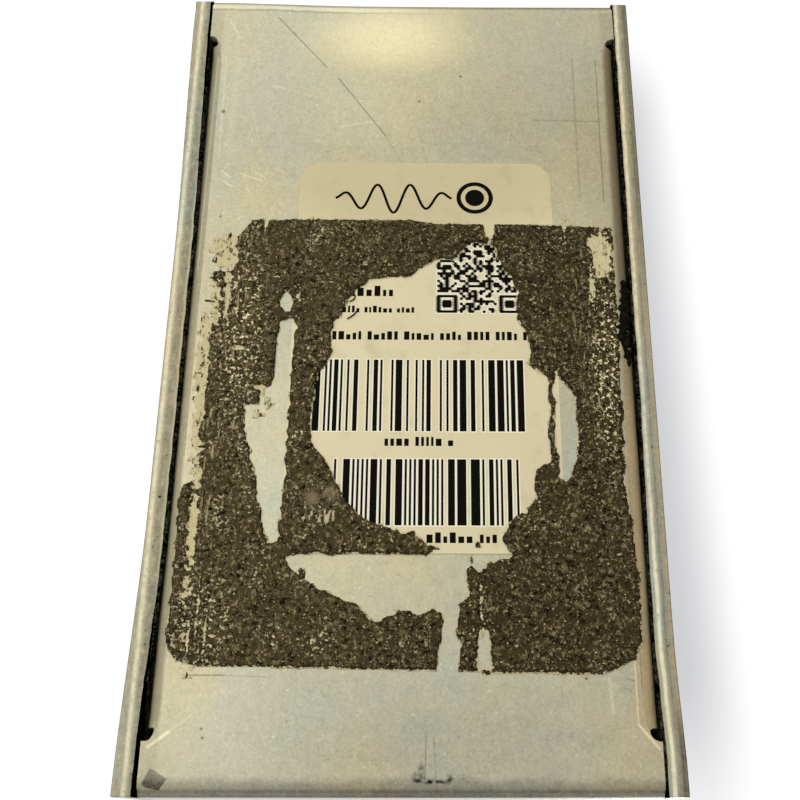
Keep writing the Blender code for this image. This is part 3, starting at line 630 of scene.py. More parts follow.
def base_tray(material):
    """The plate with its end walls and side flanges. The metal dishes where a flange's bend runs out."""
    wall_top = corners("base_chassis")[1][2] - PLATE
    straight = {side: FLANGE_OUTSIDE[side] - SIDE_BEND[side] for side in (1, -1)}
    rows, columns = [], []
    for side in (-1, 1):
        ends = arc_columns(END_AT[side] - END_BEND[side], END_BEND[side], wall_top)
        runout = np.linspace(RUNOUT_FROM, FLANGE_HALF, 8)
        rows += [side * t for t in {*ends, *runout, *NOTCH_ROWS, EAR_FROM}]
        columns += [side * s for s in arc_columns(straight[side], SIDE_BEND[side], FLANGE_TOP - PLATE)]
    ear_arc = {side: pi / 2 * SIDE_BEND[side] * EAR_STEPS / ARC_STEPS for side in (1, -1)}

    def past_bend(radius, height):
        return pi / 2 * radius + height - PLATE - radius

    holes = []
    for node in SCREWS:
        at, side = middle(node), int(np.sign(middle(node)[0]))
        s = side * (straight[side] + past_bend(SIDE_BEND[side], at[2]))
        holes.append((s, at[1], SCREW_HOLE, SCREW_HOLE))
    inlet = END_AT[1] - END_BEND[1] + past_bend(END_BEND[1], middle("power_jack_pin")[2])
    holes.append((0.0, inlet, *INLET_HOLE))
    for s, t, half_s, half_t in holes:
        for lines, centre, half in ((columns, s, half_s), (rows, t, half_t)):
            lines += [centre + HOLE_PATCH * half * (2 * i / HOLE_STEPS - 1) for i in range(HOLE_STEPS + 1)]
    columns, rows = (sorted({round(float(line), 3) for line in lines}) for lines in (columns, rows))

    def place(s, t):
        side, end = (1 if s > 0 else -1), (1 if t > 0 else -1)
        bend = SIDE_BEND[side]
        ran = min(max((abs(t) - RUNOUT_FROM) / (EAR_FROM - RUNOUT_FROM), 0), 1)
        start = straight[side] + RUNOUT * (1 - sqrt(1 - ran * ran))
        past = max(abs(s) - straight[side], 0)
        if past < NOTCH_END:
            notch = 1 - ((abs(t) - (FLANGE_HALF + EAR_FROM) / 2) / ((EAR_FROM - FLANGE_HALF) / 2)) ** 2
            past *= 1 - NOTCH_DEPTH[side] * sqrt(max(notch, 0))
        radius = FLANGE_OUTSIDE[side] - start
        angle = min(past / bend, pi / 2)
        across, up = start + radius * sin(angle), radius * (1 - cos(angle)) + max(past - pi / 2 * bend, 0)
        flat_x = start + min(past / ear_arc[side], 1) * (EAR_OUTSIDE[side] - start)
        if past == 0:
            across = flat_x = abs(s) / straight[side] * start
        flat = 1 - smooth(abs(t), EAR_FROM, FLANGE_HALF)
        x = side * (across + (flat_x - across) * flat)
        y, z = folded(abs(t), END_AT[end] - END_BEND[end], END_BEND[end])
        bow = (0.18 + 0.44 * smooth(x, 6, 27) + 0.12 * smooth(x, -6, -27)) * smooth(t, 46, 50)
        return x, end * y + bow, PLATE + z + up * (1 - flat)

    def keep(s, t):
        side = 1 if s > 0 else -1
        past = abs(s) - straight[side]
        if abs(t) < FLANGE_HALF:
            return True
        return past < (NOTCH if abs(t) < EAR_FROM else ear_arc[side])

    grid = sheet_grid(columns, rows, place, keep)
    tray = raw("base_tray", *punched(*grid, columns, rows, place, holes))
    thicken(tray, TRAY_SHEET)
    bevel(tray, 0.16)
    settle(tray, material, "case", ["base_chassis"], sharp=50)


def cover(material):
    """Top and side walls in one folded sheet, with rounded edges and every hole."""
    start = HALF_WIDTH - COVER_BEND
    half = arc_columns(start, COVER_BEND, TOP - case_low[2])
    columns = [-s for s in reversed(half[1:])] + half
    rows = list(np.linspace(-HALF_LENGTH, HALF_LENGTH + 0.4, COVER_ROWS))

    def place(s, t):
        side = 1 if s > 0 else -1
        across, down = folded(abs(s), start, COVER_BEND)
        bow, *rises = COVER_BOW[side]
        for low, high, height in rises:
            bow += height * smooth(t, low, high)
        return side * (across + bow * smooth(down, 14, 31)), t, TOP - down

    shell = raw("case_cover", *sheet_grid(columns, rows, place, lambda s, t: True))
    thicken(shell, COVER_SHEET)
    # The inner skin of each wall leans in towards its lower edge, as a lip.
    for vertex in shell.data.vertices:
        x, y, z = vertex.co / MM
        if HALF_WIDTH - 3 < abs(x) < HALF_WIDTH - 1.1:
            lip = (0.7 if x > 0 else 0.35 + 0.25 * smooth(y, -10, -30)) * smooth(z, 22, 14)
            vertex.co.x -= (1 if x > 0 else -1) * lip * MM
    # The +X wall's lower inner edge, all its other edges, and every edge on the -X side.
    round_edges(shell, 0.15, lambda at: 26 < at[0] < 28.2 and at[2] < 18)
    round_edges(shell, 0.4, lambda at: at[0] > 28.2 or (at[0] > 0 and at[2] >= 18))
    round_edges(shell, 0.74, lambda at: at[0] < 0)
    for node, radius in TOP_HOLES.items():
        x, y, _ = middle(node)
        cut(shell, turned([(radius, -4), (radius, 4)], 64), on_axis((x, y, TOP)))
    for name, way in JACKS.items():
        at = middle(f"{name}_jack_nut")
        drill = turned([(JACK_HOLE, -4), (JACK_HOLE, 4)], 64)
        cut(shell, drill, on_axis((way * HALF_WIDTH, at[1], at[2]), SIDEWAYS))
    seat = turned([(SCREW_HOLE, -4), (SCREW_HOLE, -1.3), (SCREW_SEAT, 0), (SCREW_SEAT, 3)], 40)
    for node in SCREWS:
        cut(shell, seat, on_side(node, int(np.sign(middle(node)[0]))))
    settle(shell, material, "case", ["top_cover"], sharp=30)


# ---------------------------------------------------------------- metal finishes


class SheetMetal(Paint):
    """Bare steel sheet: cool and warm clouds, a rolled grain, wipe marks, streaks and pale flecks."""

    def __init__(self, name, colour, roughness):
        super().__init__(name, Metallic=1.0)
        clouds = self.noise(0.06, detail=4, stretch=(1.0, 0.6, 1.0), warp=0.6)
        mottle = self.noise(0.5, detail=6, roughness=0.75, warp=0.4)
        grain = self.noise(3.4, detail=4, roughness=0.75)
        wipes = self.noise(0.7, detail=5, stretch=(3.0, 0.8, 3.0), warp=1.4, roughness=0.75)
        blotches = self.noise(1.5, detail=5, warp=1.0, roughness=0.75)
        warm = tuple(c * k for c, k in zip(colour, (1.05, 0.99, 0.86, 1)))
        cool = tuple(c * k for c, k in zip(colour, (0.92, 0.96, 1.0, 1)))
        self.warmth = self.step(clouds, 0.3, 0.7)
        self.tones = (cool, warm)
        self.tints = []
        self.shade = self.total(
            self.step(mottle, 0.3, 0.7, 0.91, 1.05),
            self.step(grain, 0.3, 0.7, -0.07, 0.07),
            self.step(wipes, 0.35, 0.65, -0.04, 0.04),
            self.step(blotches, 0.35, 0.65, -0.05, 0.05),
            self.times(self.spots(2.2, 0.64, 0.74, detail=2), 0.2),
        )
        self.rough = self.total(roughness, self.step(mottle, 0.3, 0.7, -0.04, 0.05))
        self.bump(grain, 0.0016)
        self.bump(wipes, 0.003)
        self.bump(self.noise(0.22, detail=2), 0.008)

    def darken(self, mask, depth):
        self.shade = self.calc("MULTIPLY_ADD", mask, -depth, self.shade)

    def tint(self, mask, colour):
        self.tints.append((mask, colour))

    def done(self):
        tone = self.mix(self.warmth, *self.tones)
        for mask, colour in self.tints:
            tone = self.mix(mask, tone, colour)
        self.put("Base Color", self.mix(1.0, tone, self.grey(self.shade), "MULTIPLY"))
        self.put("Roughness", self.rough)
        return super().done()


# Lines on the plate, as start, end, width and depth: scratched lines and marks, and, along the side bends and where
# they run out, painted shade lines (DARK_LINES) and painted highlight lines and one broad painted reflection
# (PALE_LINES).
DARK_LINES = [
    ((18, 48.5), (11.2, 40.3), 0.26, 1.0), ((9.6, 38.6), (3.2, 29.6), 0.26, 1.0), ((3.2, 29.6), (1.8, 27), 0.2, 0.4),
    ((23, -38.6), (19, -38.6), 0.3, 0.9), ((19, -38.6), (14, -38.8), 0.2, 0.5),
    ((-23.8, -38.9), (-24.6, -39.1), 0.3, 0.6), ((-23.4, -39.8), (-24.2, -40.1), 0.25, 0.5),
    ((-1, 31), (-2, 26), 0.22, 0.3), ((20, 27), (17.5, 30), 0.25, 0.3), ((20.5, 25), (20, 21), 0.2, 0.25),
    ((-2.4, -49), (-2.5, -44.8), 0.24, 0.6), ((-3.5, -49), (-3.3, -45), 0.22, 0.5),
    ((-16, 32.2), (-24.5, 32), 0.4, 0.35), ((-21.4, 42), (-21.5, 20), 0.5, 0.3),
    ((25.3, 41), (25.4, -14), 0.22, 0.7), ((-24.5, 42), (-24.5, 20), 0.3, 0.6),
    ((-25.4, -15), (-25.4, -40), 0.2, 0.6),
]
PALE_LINES = [
    ((18, 37.3), (16.3, 36.8), 0.25, 0.8), ((16.3, 36.8), (13, 35.7), 0.2, 0.5),
    ((9, 31), (5, 31.8), 0.22, 0.9), ((24, 24.2), (22.8, 23.2), 0.3, 0.9),
    ((23.6, 22.6), (22.4, 21.8), 0.3, 0.9), ((21.5, 23.8), (18.5, 22.6), 0.25, 0.8),
    ((19.6, 24), (18.4, 23.2), 0.25, 0.7), ((17.4, 24.6), (16, 24), 0.25, 0.7),
    ((20.6, 21.6), (19.8, 20.6), 0.25, 0.6), ((23, 41.5), (23.2, 27), 1.3, 0.16), ((24.6, 42), (24.5, 26), 0.3, 0.5),
    ((-22, -39), (-22.2, -42.4), 0.6, 0.6), ((24.6, 48.2), (23, 45), 0.35, 0.6),
    ((26.4, -45.9), (24.4, -44.4), 0.5, 1.6), ((24.4, -44.4), (22.2, -42.8), 0.3, 0.5),
    ((25.75, 42), (25.85, 10), 0.34, 1.6), ((26.3, -44.6), (25.9, -43.4), 0.5, 0.9),
    ((-24.8, -16), (-24.8, -43.6), 0.3, 1.3), ((-24.8, -43.6), (-26.8, -46), 0.4, 1.8),
    ((-26.75, -12), (-26.8, -43), 0.24, 1.4), ((20.4, 33), (19.2, 27), 0.3, 0.3),
    ((18.8, 30.4), (16.6, 33.6), 0.3, 0.25), ((22.6, 47.6), (21.6, 45.8), 0.3, 0.4),
]
# Stains: centre and radius.
STAINS = [
    ((24.4, 33.2), 0.35), ((-1.1, 35), 0.2), ((-6.5, 39), 0.22), ((-1, 24.8), 0.18), ((21, -44.1), 0.22),
    ((20.8, -45), 0.2), ((23.6, 17.5), 0.2), ((-19.5, -38.9), 0.2),
]
# Broad areas of the plate made darker or brighter as painted reflections: centre, half sizes, and how much darker
# the middle is.
PAINTED_LIGHT_AREAS = [
    ((0, 28), (44, 16), 0.1), ((-16, 34), (18, 26), 0.08), ((-3, -46), (24, 9), 0.12), ((20, -42), (9, 12), -0.1),
    ((3, 45.5), (14, 8), -0.37), ((-25, 0), (5, 30), 0.1), ((10, -14), (30, 26), -0.14), ((-24, 30), (6, 18), 0.08),
    ((6, 33), (10, 8), -0.08),
]
# The chip at the front corner: its middle, and the direction and distance of each of its sides.
CHIP_AT = (25.4, -49.2)
CHIP_SIDES = [((0.9, 0.45, 0), 1.1), ((-0.5, 0.86, 0), 0.85), ((-0.8, -0.6, 0), 1.0), ((0.2, -1, 0), 0.9)]
# Scuffs by the front edge: centre and half sizes.
SCUFFS = [
    ((-1.7, -48.9), (1.0, 0.9)), ((-3.4, -49.3), (2.4, 0.35)), ((-4.9, -49), (0.5, 0.7)), ((-2, -48.2), (0.5, 1.2)),
]


def plate_metal():
    """The underside's steel, with the scratched lines, stains and smudges of a used pedal, and painted reflections,
    painted highlights and painted shade on its plate and bends.
    """
    metal = SheetMetal("base_steel", srgb(191, 189, 174), 0.42)
    step, times, noise, blob, darken = metal.step, metal.times, metal.noise, metal.blob, metal.darken
    # Painted reflections: broad darker and brighter areas.
    for centre, size, depth in PAINTED_LIGHT_AREAS:
        darken(blob(centre, size, 0.1), depth)
    # A painted warm highlight near the rear middle of the plate.
    metal.warmth = metal.most(metal.warmth, blob((2, 44), (18, 10), 0.2))
    x, y, z = metal.split(metal.at)
    # A painted highlight in a band on the rear bend, with a painted dark line just before it, fading out towards -X.
    ragged = metal.total(y, times(noise(0.6), 0.5), step(x, 6, 22, -0.18, -0.62))
    rear = step(x, -8, 12, 0.08, 1.0)
    for start, full, end, still_full, depth in ((49.5, 49.75, 50.7, 50.45, -0.3), (49.2, 49.4, 49.6, 49.45, 0.25)):
        line = (step(ragged, start, full), step(ragged, end, still_full))
        darken(times(*line, rear), depth)
    near = step(z, PLATE + 3.4, PLATE + 1.8)
    # Painted shade along the rim of the rear bend.
    darken(times(step(ragged, 50.6, 50.8), near), 0.3)
    # Darker in a wavy band by the front edge.
    front_band = metal.total(y, times(noise(0.3, detail=3), 1.6))
    darken(times(step(front_band, -47.7, -48.8), near), 0.29)
    # Painted shade on the front bend and low on the front wall.
    darken(times(step(z, PLATE + 0.4, PLATE + 1.1), step(y, -49, -50), near), 0.34)
    darken(times(step(y, -49.9, -50.4), near), 0.12)
    freckles = times(metal.spots(2.6, 0.6, 0.68, detail=3), step(noise(0.12), 0.4, 0.65))
    darken(freckles, 0.16)
    # The side bends where they leave the plate: not metallic, with a flat painted tone below that stands in for
    # their reflections.
    side_bend_band = times(step(metal.calc("ABSOLUTE", x), 25.1, 25.7), step(z, PLATE - 0.05, PLATE + 0.1))
    side_bend_band = times(side_bend_band, step(metal.calc("ABSOLUTE", y), 50.1, 49.3))
    metal.put("Metallic", metal.calc("SUBTRACT", 1.0, side_bend_band))
    # A painted golden reflection, in a wavy band by the -X bend.
    wavy = metal.total(x, times(noise(0.5), 0.8))
    gold = times(step(wavy, -23.9, -24.9), step(y, 8, -12), step(y, -46, -42))
    # Scratched lines and marks, with painted shade lines and painted highlight lines along the side bends.
    darken(metal.line_masks(DARK_LINES), 0.45)
    darken(metal.line_masks(PALE_LINES), -0.3)
    darken(metal.most(*[blob(at, (size, size), 0.5) for at, size in STAINS]), 0.6)
    flaked = step(noise(0.8, detail=3), 0.25, 0.3)
    chip = times(blob(CHIP_AT, (1.5, 1.15), 0.95, 0.5), flaked)
    for direction, reach in CHIP_SIDES:
        away = metal.vector("DOT_PRODUCT", metal.vector("SUBTRACT", metal.at, (*CHIP_AT, 0)), direction)
        chip = times(chip, step(away, reach, reach - 0.1))
    scuff = metal.most(*[blob(at, size, 0.2) for at, size in SCUFFS])
    scuff = times(scuff, step(noise(1.6, detail=4), 0.3, 0.6))
    darken(metal.total(times(chip, 0.8), scuff), 0.6)
    metal.tint(times(gold, 0.45), srgb(194, 168, 132))
    # The painted tone on the side bends, darker towards the rear on the -X side.
    minus_x = metal.mix(step(y, 8, -12), srgb(124, 110, 86), srgb(184, 166, 132))
    painted_bend_tone = metal.mix(step(x, -5, 5), minus_x, srgb(160, 154, 132))
    metal.tint(times(side_bend_band, 0.85), painted_bend_tone)
    return metal.done()


# Painted highlight and shade bands along the rounded lower edges of the cover: where, half width, and how much
# darker.
PAINTED_EDGE_BANDS = [
    (29.35, 0.4, 0.22), (28.66, 0.22, -0.5), (27.75, 0.5, 0.4), (27.22, 0.1, -0.12),
    (-27.7, 0.2, -0.7), (-28.35, 0.17, 0.28), (-28.75, 0.1, 0.1), (-29.2, 0.12, 0.12),
]


def cover_metal():
    """The cover's steel, with painted highlight lines along its rounded lower edges, painted shade between them, and
    painted black shade on the inner walls by the slots.
    """
    metal = SheetMetal("cover_steel", srgb(174, 172, 159), 0.42)
    step, times, total, darken = metal.step, metal.times, metal.total, metal.darken
    x, y, z = metal.split(metal.at)
    bows = []
    for start, *rises in COVER_BOW.values():
        rises = [step(y, low, high, 0, height) for low, high, height in rises]
        bows.append(total(start, *rises) if start else total(*rises))
    bowed = total(times(step(x, -5, 5), bows[0], -1.0), times(step(x, 5, -5), bows[1]))
    wander = times(total(metal.noise(0.35, detail=3), -0.5), 0.3)
    across = total(x, bowed, wander)
    straight = total(x, wander, 0.2)
    low = step(z, PLATE + 0.95, PLATE + 0.6)
    broken = step(metal.noise(1.3, detail=4, stretch=(1, 0.6, 1)), 0.3, 0.6, 0.45, 1.0)
    # Painted highlights and painted shade in bands along the rounded lower edges.
    for centre, half, depth in PAINTED_EDGE_BANDS:
        away = metal.calc("ABSOLUTE", total(across if centre < 0 else straight, -centre))
        darken(times(step(away, half * 1.5, half * 0.4), low, broken), depth)
    # A painted highlight along the -X strip's inner edge, towards the front.
    shine = step(metal.calc("ABSOLUTE", total(across, 27.7)), 0.4, 0.1)
    darken(times(shine, step(y, -12, -30), low), -0.4)
    darken(times(metal.spots(1.6, 0.66, 0.7, detail=3), low), 0.5)
    # Painted golden glints, dotted along the outer half of the -X strip.
    golden = times(step(across, -28.65, -28.8), step(across, -29.35, -29.1), low)
    golden = times(golden, step(y, 20, -10), metal.spots(1.8, 0.42, 0.5, detail=2, stretch=(0.3, 1, 1)))
    metal.tint(times(golden, 0.4), srgb(214, 182, 140))
    # Painted shade on the outer half of the -X strip, at its rear and its front.
    outer = times(step(across, -28.4, -28.65), low)
    darken(times(outer, total(step(y, 0, 25, 0, 0.4), step(y, -40, -46, 0, 0.5))), 1.0)
    # Painted black shade on the inner walls beside the slots: darkened, not metallic, and with no specular on this
    # material.
    inner = times(step(x, -5, 5), step(across, 27.17, 27.11))
    minus_x = step(x, 5, -5)
    lip = step(total(across, step(y, -10, -30, 0, -0.25)), -27.4, -27.32)
    inner = total(inner, times(minus_x, lip))
    inner = times(inner, step(z, PLATE + 3.5, PLATE + 1.0))
    darken(inner, 0.95)
    metal.put("Metallic", metal.calc("SUBTRACT", 1.0, inner))
    metal.shader.inputs["Specular IOR Level"].default_value = 0.0
    return metal.done()


# ---------------------------------------------------------------- the label

LABEL_RADIUS = 2.8
BAR_UNIT = 0.26
MODULES = 29  # along each side of the matrix code
HALO_THICK, INK_THICK, PRINT_HALO = 0.004, 0.01, 0.13
EMBLEM_THICK, EMBLEM_WEIGHT = 0.006, 0.33
label_low, label_high = corners("product_label")
LABEL_FACE = label_low[2]


def ink(strokes, thickness, grow=0.0):
    """Thin blocks for (x, y, width, height) strokes on the label, whose readable side faces down."""
    shapes = []
    for x, y, width, height in strokes:
        low = (x - grow, y - grow, LABEL_FACE - thickness)
        shapes.append(block(low, (x + width + grow, y + height + grow, LABEL_FACE)))
    return joined(*shapes)


def bar_code(left, right, bottom, top, seed):
    """Bars and gaps of one to four units. They encode nothing."""
    rng = np.random.default_rng(seed)
    strokes, x, dark = [], left, True
    while x < right:
        width = BAR_UNIT * rng.choice((1, 2, 3, 4), p=(0.5, 0.27, 0.15, 0.08))
        if dark and x + width < right:
            strokes.append((-x - width, bottom, width, top - bottom))
        x += width
        dark = not dark
    return strokes


def matrix_code(left, right, bottom, seed):
    """A square of random modules with a finder square in three corners. It encodes nothing."""
    rng = np.random.default_rng(seed)
    module = (right - left) / MODULES
    dark = rng.random((MODULES, MODULES)) < 0.48
    rings = np.ones((8, 8), bool)
    rings[7, :] = rings[:, 7] = False
    rings[1:6, 1:6] = False
    rings[2:5, 2:5] = True
    dark[:8, :8] = rings
    dark[:8, -8:] = rings[:, ::-1]
    dark[-8:, :8] = rings[::-1]
    strokes = []
    for row in range(MODULES):
        column = 0
        while column < MODULES:
            if dark[row, column]:
                run = 1
                while column + run < MODULES and dark[row, column + run]:
                    run += 1
                strokes.append((-left - (column + run) * module, bottom + row * module, run * module, module))
                column += run
            column += 1
    return strokes


def greeked(left, right, bottom, height, seed):
    """A line of plain blocks with the rhythm of words."""
    rng = np.random.default_rng(seed)
    strokes, x = [], left
    while x < right:
        for _ in range(rng.integers(2, 7)):
            wide = height * rng.uniform(0.25, 0.6)
            if x + wide > right:
                return strokes
            tall = height * rng.choice((0.62, 0.8, 1.0))
            strokes.append((-x - wide, bottom, wide, tall))
            x += wide + height * 0.24
        x += height * 0.45
    return strokes


def emblem():
    """A line that swings like a signal and ends in a round socket, as a generic mark for audio gear."""
    face = LABEL_FACE - EMBLEM_THICK
    front = face - EMBLEM_THICK
    path = []
    for t in np.arange(97) / 96:
        path.append((9.3 - 14.6 * t, 20.2 + 2.1 * sin(2 * pi * 3.5 * t) * sin(pi * t) ** 0.7))
    rings = []
    for (x, y), (dx, dy) in zip(path, runs(path)):
        a, b = dy / hypot(dx, dy) * EMBLEM_WEIGHT / 2, dx / hypot(dx, dy) * EMBLEM_WEIGHT / 2
        rings.append([(x - a, y + b, face), (x + a, y - b, face), (x + a, y - b, front), (x - a, y + b, front)])
    shapes = [loft(rings)]
    ring = [(1.75, front), (2.3, front), (2.3, face), (1.75, face)]
    for profile, looped in ((ring, True), ([(1.2, front), (1.2, face)], False)):
        points, faces = turned(profile, 48, looped=looped)
        shapes.append((points + np.array((-8.2, 20.3, 0)), faces))
    return joined(*shapes)


# Lines of blocks: left, right, bottom, height and seed.
TEXT_LINES = [
    (-8, 1.2, 4.2, 0.9, 1), (-7, -1.8, 6.4, 1.4, 2), (-9, 14.7, 0.6, 1.1, 4), (-2.5, 5.4, -12.8, 1.1, 6),
    (2.4, 10.5, -24.2, 1.2, 7),
]


def label(paper, halo, black):
    """The label, whose print is bars and modules that encode nothing, and lines that can't be read."""
    rim = rounded_outline(label_low[:2], label_high[:2], LABEL_RADIUS)
    cx, cy = (label_low[:2] + label_high[:2]) / 2
    rings = []
    for inset, height in ((0.03, label_high[2]), (0, label_high[2]), (0, LABEL_FACE + 0.01), (0.02, LABEL_FACE)):
        scale = 1 - inset / 15
        rings.append([(cx + (x - cx) * scale, cy + (y - cy) * scale, height) for x, y in rim])
    piece("label", loft(rings), paper, "case", ["product_label"])

    codes = bar_code(-11.5, 14.0, -11.0, -2.0, 3) + bar_code(-9.5, 13.4, -22.2, -14.4, 8)
    codes += matrix_code(3.5, 13.5, 4.2, 5)
    lines = []
    for line in TEXT_LINES:
        lines += greeked(*line)
    piece("label_white", ink(codes, HALO_THICK, PRINT_HALO), halo, "case")
    piece("label_print", joined(ink(codes + lines, INK_THICK), emblem()), black, "case")


def paper_finish():
    """Cream label film with a faint mottle and a dirty greyish tone here and there."""
    paper = Paint("label_paper", Roughness=0.55, Specular_IOR_Level=0.3)
    dirt = paper.spots(0.35, 0.5, 0.8, detail=5)
    paper.base(paper.noise(0.12), (226, 218, 190), (236, 228, 198))
    paper.coat(paper.blob((0, 24), (30, 13), 0.4), 212, 202, 170)
    paper.coat(paper.times(dirt, 0.35), 176, 166, 130)
    paper.bump(paper.noise(3, detail=2), 0.002)
    return paper.done()


def print_finish(name, scale, dark, light, **constants):
    """Print in one tone, faintly uneven."""
    tone = Paint(name, **constants)
    tone.base(tone.noise(scale, detail=4), dark, light)
    return tone.done()


# ---------------------------------------------------------------- torn tape

# Outlines in x and y on the underside: the tape that is left, and the openings in it.
TAPE = [
    (20.2, 15.8), (19.6, 17), (18.1, 17), (17.9, 15.4), (17.4, 17), (0, 17), (-2.5, 16.5), (-9.2, 16.4),
    (-9.7, 13.9), (-10.3, 13.9), (-10.7, 16.4), (-18.9, 16.3), (-19.3, 15.5), (-19.6, 16.3), (-25.3, 16.2),
    (-25.2, -12), (-24.8, -17), (-25.5, -22), (-25.9, -28), (-25.7, -35), (-25, -36.8), (-23, -37.8),
    (-21, -38.4), (22, -37.6), (24.3, -37), (25.6, -35.4), (25.5, -19), (25.1, -17.4), (24, -16.5),
    (23.4, 6), (23.9, 9.7), (21.4, 10), (20.8, 11.5), (21.1, 14.5),
]
WINDOW = [
    (-0.2, 9), (3, 9), (6, 7.9), (7, 6), (8.7, 2.7), (9.1, 1.2), (8.8, -1), (10.6, -4), (11.1, -7),
    (11.1, -11), (10.5, -13), (9.2, -14.5), (8.2, -17), (6.5, -19.5), (4.3, -21.7), (0.3, -23), (-1, -22.8),
    (-3, -25), (-2.4, -25.5), (12, -25.6), (13.3, -25.8), (12.3, -27.2), (9.5, -29.3), (5, -31.1),
    (3.8, -32.5), (2.7, -33), (2, -32.2), (-2.5, -32), (-3.3, -31.3), (-4.3, -32), (-4, -35), (-3.2, -39.5),
    (-6, -39.5), (-5.8, -31), (-6.5, -30.4), (-7.1, -30.1), (-6.9, -29), (-6.9, -27.5), (-7.3, -25.6),
    (-7.7, -26.6), (-8.2, -27.6), (-9, -26.4), (-12, -25.6), (-10.5, -24), (-11.5, -22.5),
    (-12.2, -21), (-13.5, -20.7), (-14.6, -19.5), (-14.7, -15.6), (-16.6, -14.5), (-16.2, -12),
    (-16.7, -8), (-16.3, -4), (-14.4, -2.6), (-14.4, 1), (-12.9, 4.5), (-13.3, 7), (-11.2, 11.5),
    (-10.3, 13.7), (-8, 13.7), (-6.8, 13), (-6.3, 12), (-5.4, 11.3), (-4, 11.6), (-3, 10.9), (-1.2, 10.2),
]
WIDE_SLIVER = [
    (15.2, 3), (15.4, -1.5), (15.9, -5.2), (17.1, -6), (17.2, -7.8), (19.1, -7.6), (18.6, -10.5),
    (17.3, -16), (16, -20.5), (15.8, -22.5), (15, -24.3), (14.2, -24.2), (13.8, -15), (13.5, 2), (13.7, 3.3),
]
NARROW_SLIVER = [
    (-17.5, -3.6), (-18.5, -4.5), (-19.7, -6.5), (-19.7, -9), (-20, -12), (-19.2, -15.5), (-18.4, -17),
    (-17.7, -16.4), (-17.4, -15), (-17.2, -6),
]
LOW_GAP = [(-7.9, -39.5), (-7.9, -37), (-8.3, -33.6), (-9, -33.8), (-9.4, -35.5), (-9.7, -39.5)]
PINHOLES = [((14.6, 5.8), (0.65, 1.25)), ((13.4, 6.5), (0.25, 0.9))]

# Small bits of foam beside the tape.
CRUMBS = [
    ((-3.0, -24.7), (0.75, 0.3)), ((-8.1, -24.4), (0.4, 0.4)), ((11.3, -27.7), (0.45, 0.7)),
    ((-13, -24.4), (2, 1.4)), ((-9, -38.2), (0.6, 0.25)), ((0, -31.9), (1, 0.4)),
]

# Where the foam is gone and cream glue is left, as a centre and half sizes.
GLUE = [
    ((24.2, -4), (0.75, 11)), ((23.7, -22), (0.55, 10)), ((22.6, 12.7), (1.9, 2.4)), ((-23.9, 12), (1.2, 3.4)),
    ((-22.8, 14), (0.5, 1.6)), ((-22.4, 8), (0.35, 2.6)), ((21.9, 7.2), (0.4, 3.8)), ((19.9, -0.6), (0.9, 0.3)),
    ((18.3, -1.9), (0.8, 0.35)), ((23.2, 5), (0.5, 3)), ((-19.3, 14.6), (0.15, 1.3)), ((13.2, 6.6), (0.2, 1.3)),
    ((12.2, 13.4), (0.12, 1.6)), ((17.2, -5.6), (0.7, 0.3)),
    ((17.4, -9), (0.8, 0.6)), ((21.4, -34), (0.16, 3)), ((22.4, -33), (0.14, 3.4)), ((23.2, -34.5), (0.14, 2.2)),
    ((16.3, -7.4), (0.5, 0.8)), ((-8.4, -31.2), (0.14, 1.7)),
]
CELL = 0.25  # the grid the tape is made on
TAPE_AREA = ((-27.1, 27.1), (-39.0, 18.0))
GLUE_GAP = 0.012  # between the tape and what it is on
TAPE_ENDS = (-36.6, 15.6)  # past these, the edges are cut straight, not torn


def edge_distance(x, y, outline):
    """The distance of each point to a closed outline, positive inside it."""
    nearest = np.full(x.shape, 1e9)
    inside = np.zeros(x.shape, bool)
    for (x1, y1), (x2, y2) in zip(outline, outline[1:] + outline[:1]):
        dx, dy = x2 - x1, y2 - y1
        t = np.clip(((x - x1) * dx + (y - y1) * dy) / (dx * dx + dy * dy), 0, 1)
        nearest = np.minimum(nearest, np.hypot(x - x1 - t * dx, y - y1 - t * dy))
        if y1 != y2:
            crosses = (y1 > y) != (y2 > y)
            inside ^= crosses & (x < x1 + (y - y1) * dx / dy)
    return np.where(inside, nearest, -nearest)


def oval_distance(x, y, centre, half):
    """About the distance of each point to an ellipse, positive inside it."""
    reach = np.hypot((x - centre[0]) / half[0], (y - centre[1]) / half[1])
    return (1 - reach) * min(half)


def lumps(x, y, size, seed):
    """Smooth random lumps of about this size, from -1 to 1, at each point."""
    rng = np.random.default_rng(seed)
    lattice = rng.uniform(-1, 1, (256, 256))
    u, v = x / size + 128, y / size + 128
    i, j = np.floor(u).astype(int), np.floor(v).astype(int)
    a, b = u - i, v - j
    a, b = a * a * (3 - 2 * a), b * b * (3 - 2 * b)
    i, j = i % 255, j % 255
    low = lattice[i, j] * (1 - a) + lattice[i + 1, j] * a
    high = lattice[i, j + 1] * (1 - a) + lattice[i + 1, j + 1] * a
    return low * (1 - b) + high * b


def cut_end(y):
    """Where the tape was cut to length, at its front and rear."""
    return (y < TAPE_ENDS[0]) | (y > TAPE_ENDS[1])


def tape_outline(x, y):
    """How far each point is inside what is left of the tape, with torn edges."""
    distance = edge_distance(x, y, TAPE)
    for outline in (WINDOW, WIDE_SLIVER, NARROW_SLIVER, LOW_GAP):
        distance = np.minimum(distance, -edge_distance(x, y, outline))
    for centre, half in PINHOLES:
        distance = np.minimum(distance, -oval_distance(x, y, centre, half))
    straight = np.where(cut_end(y), 0.4, 1.0)
    distance += straight * (0.2 * lumps(x, y, 1.1, 11) + 0.16 * lumps(x, y, 0.45, 12))
    for centre, half in CRUMBS:
        distance = np.maximum(distance, oval_distance(x, y, centre, half) + 0.1 * lumps(x, y, 0.4, 15))
    return distance


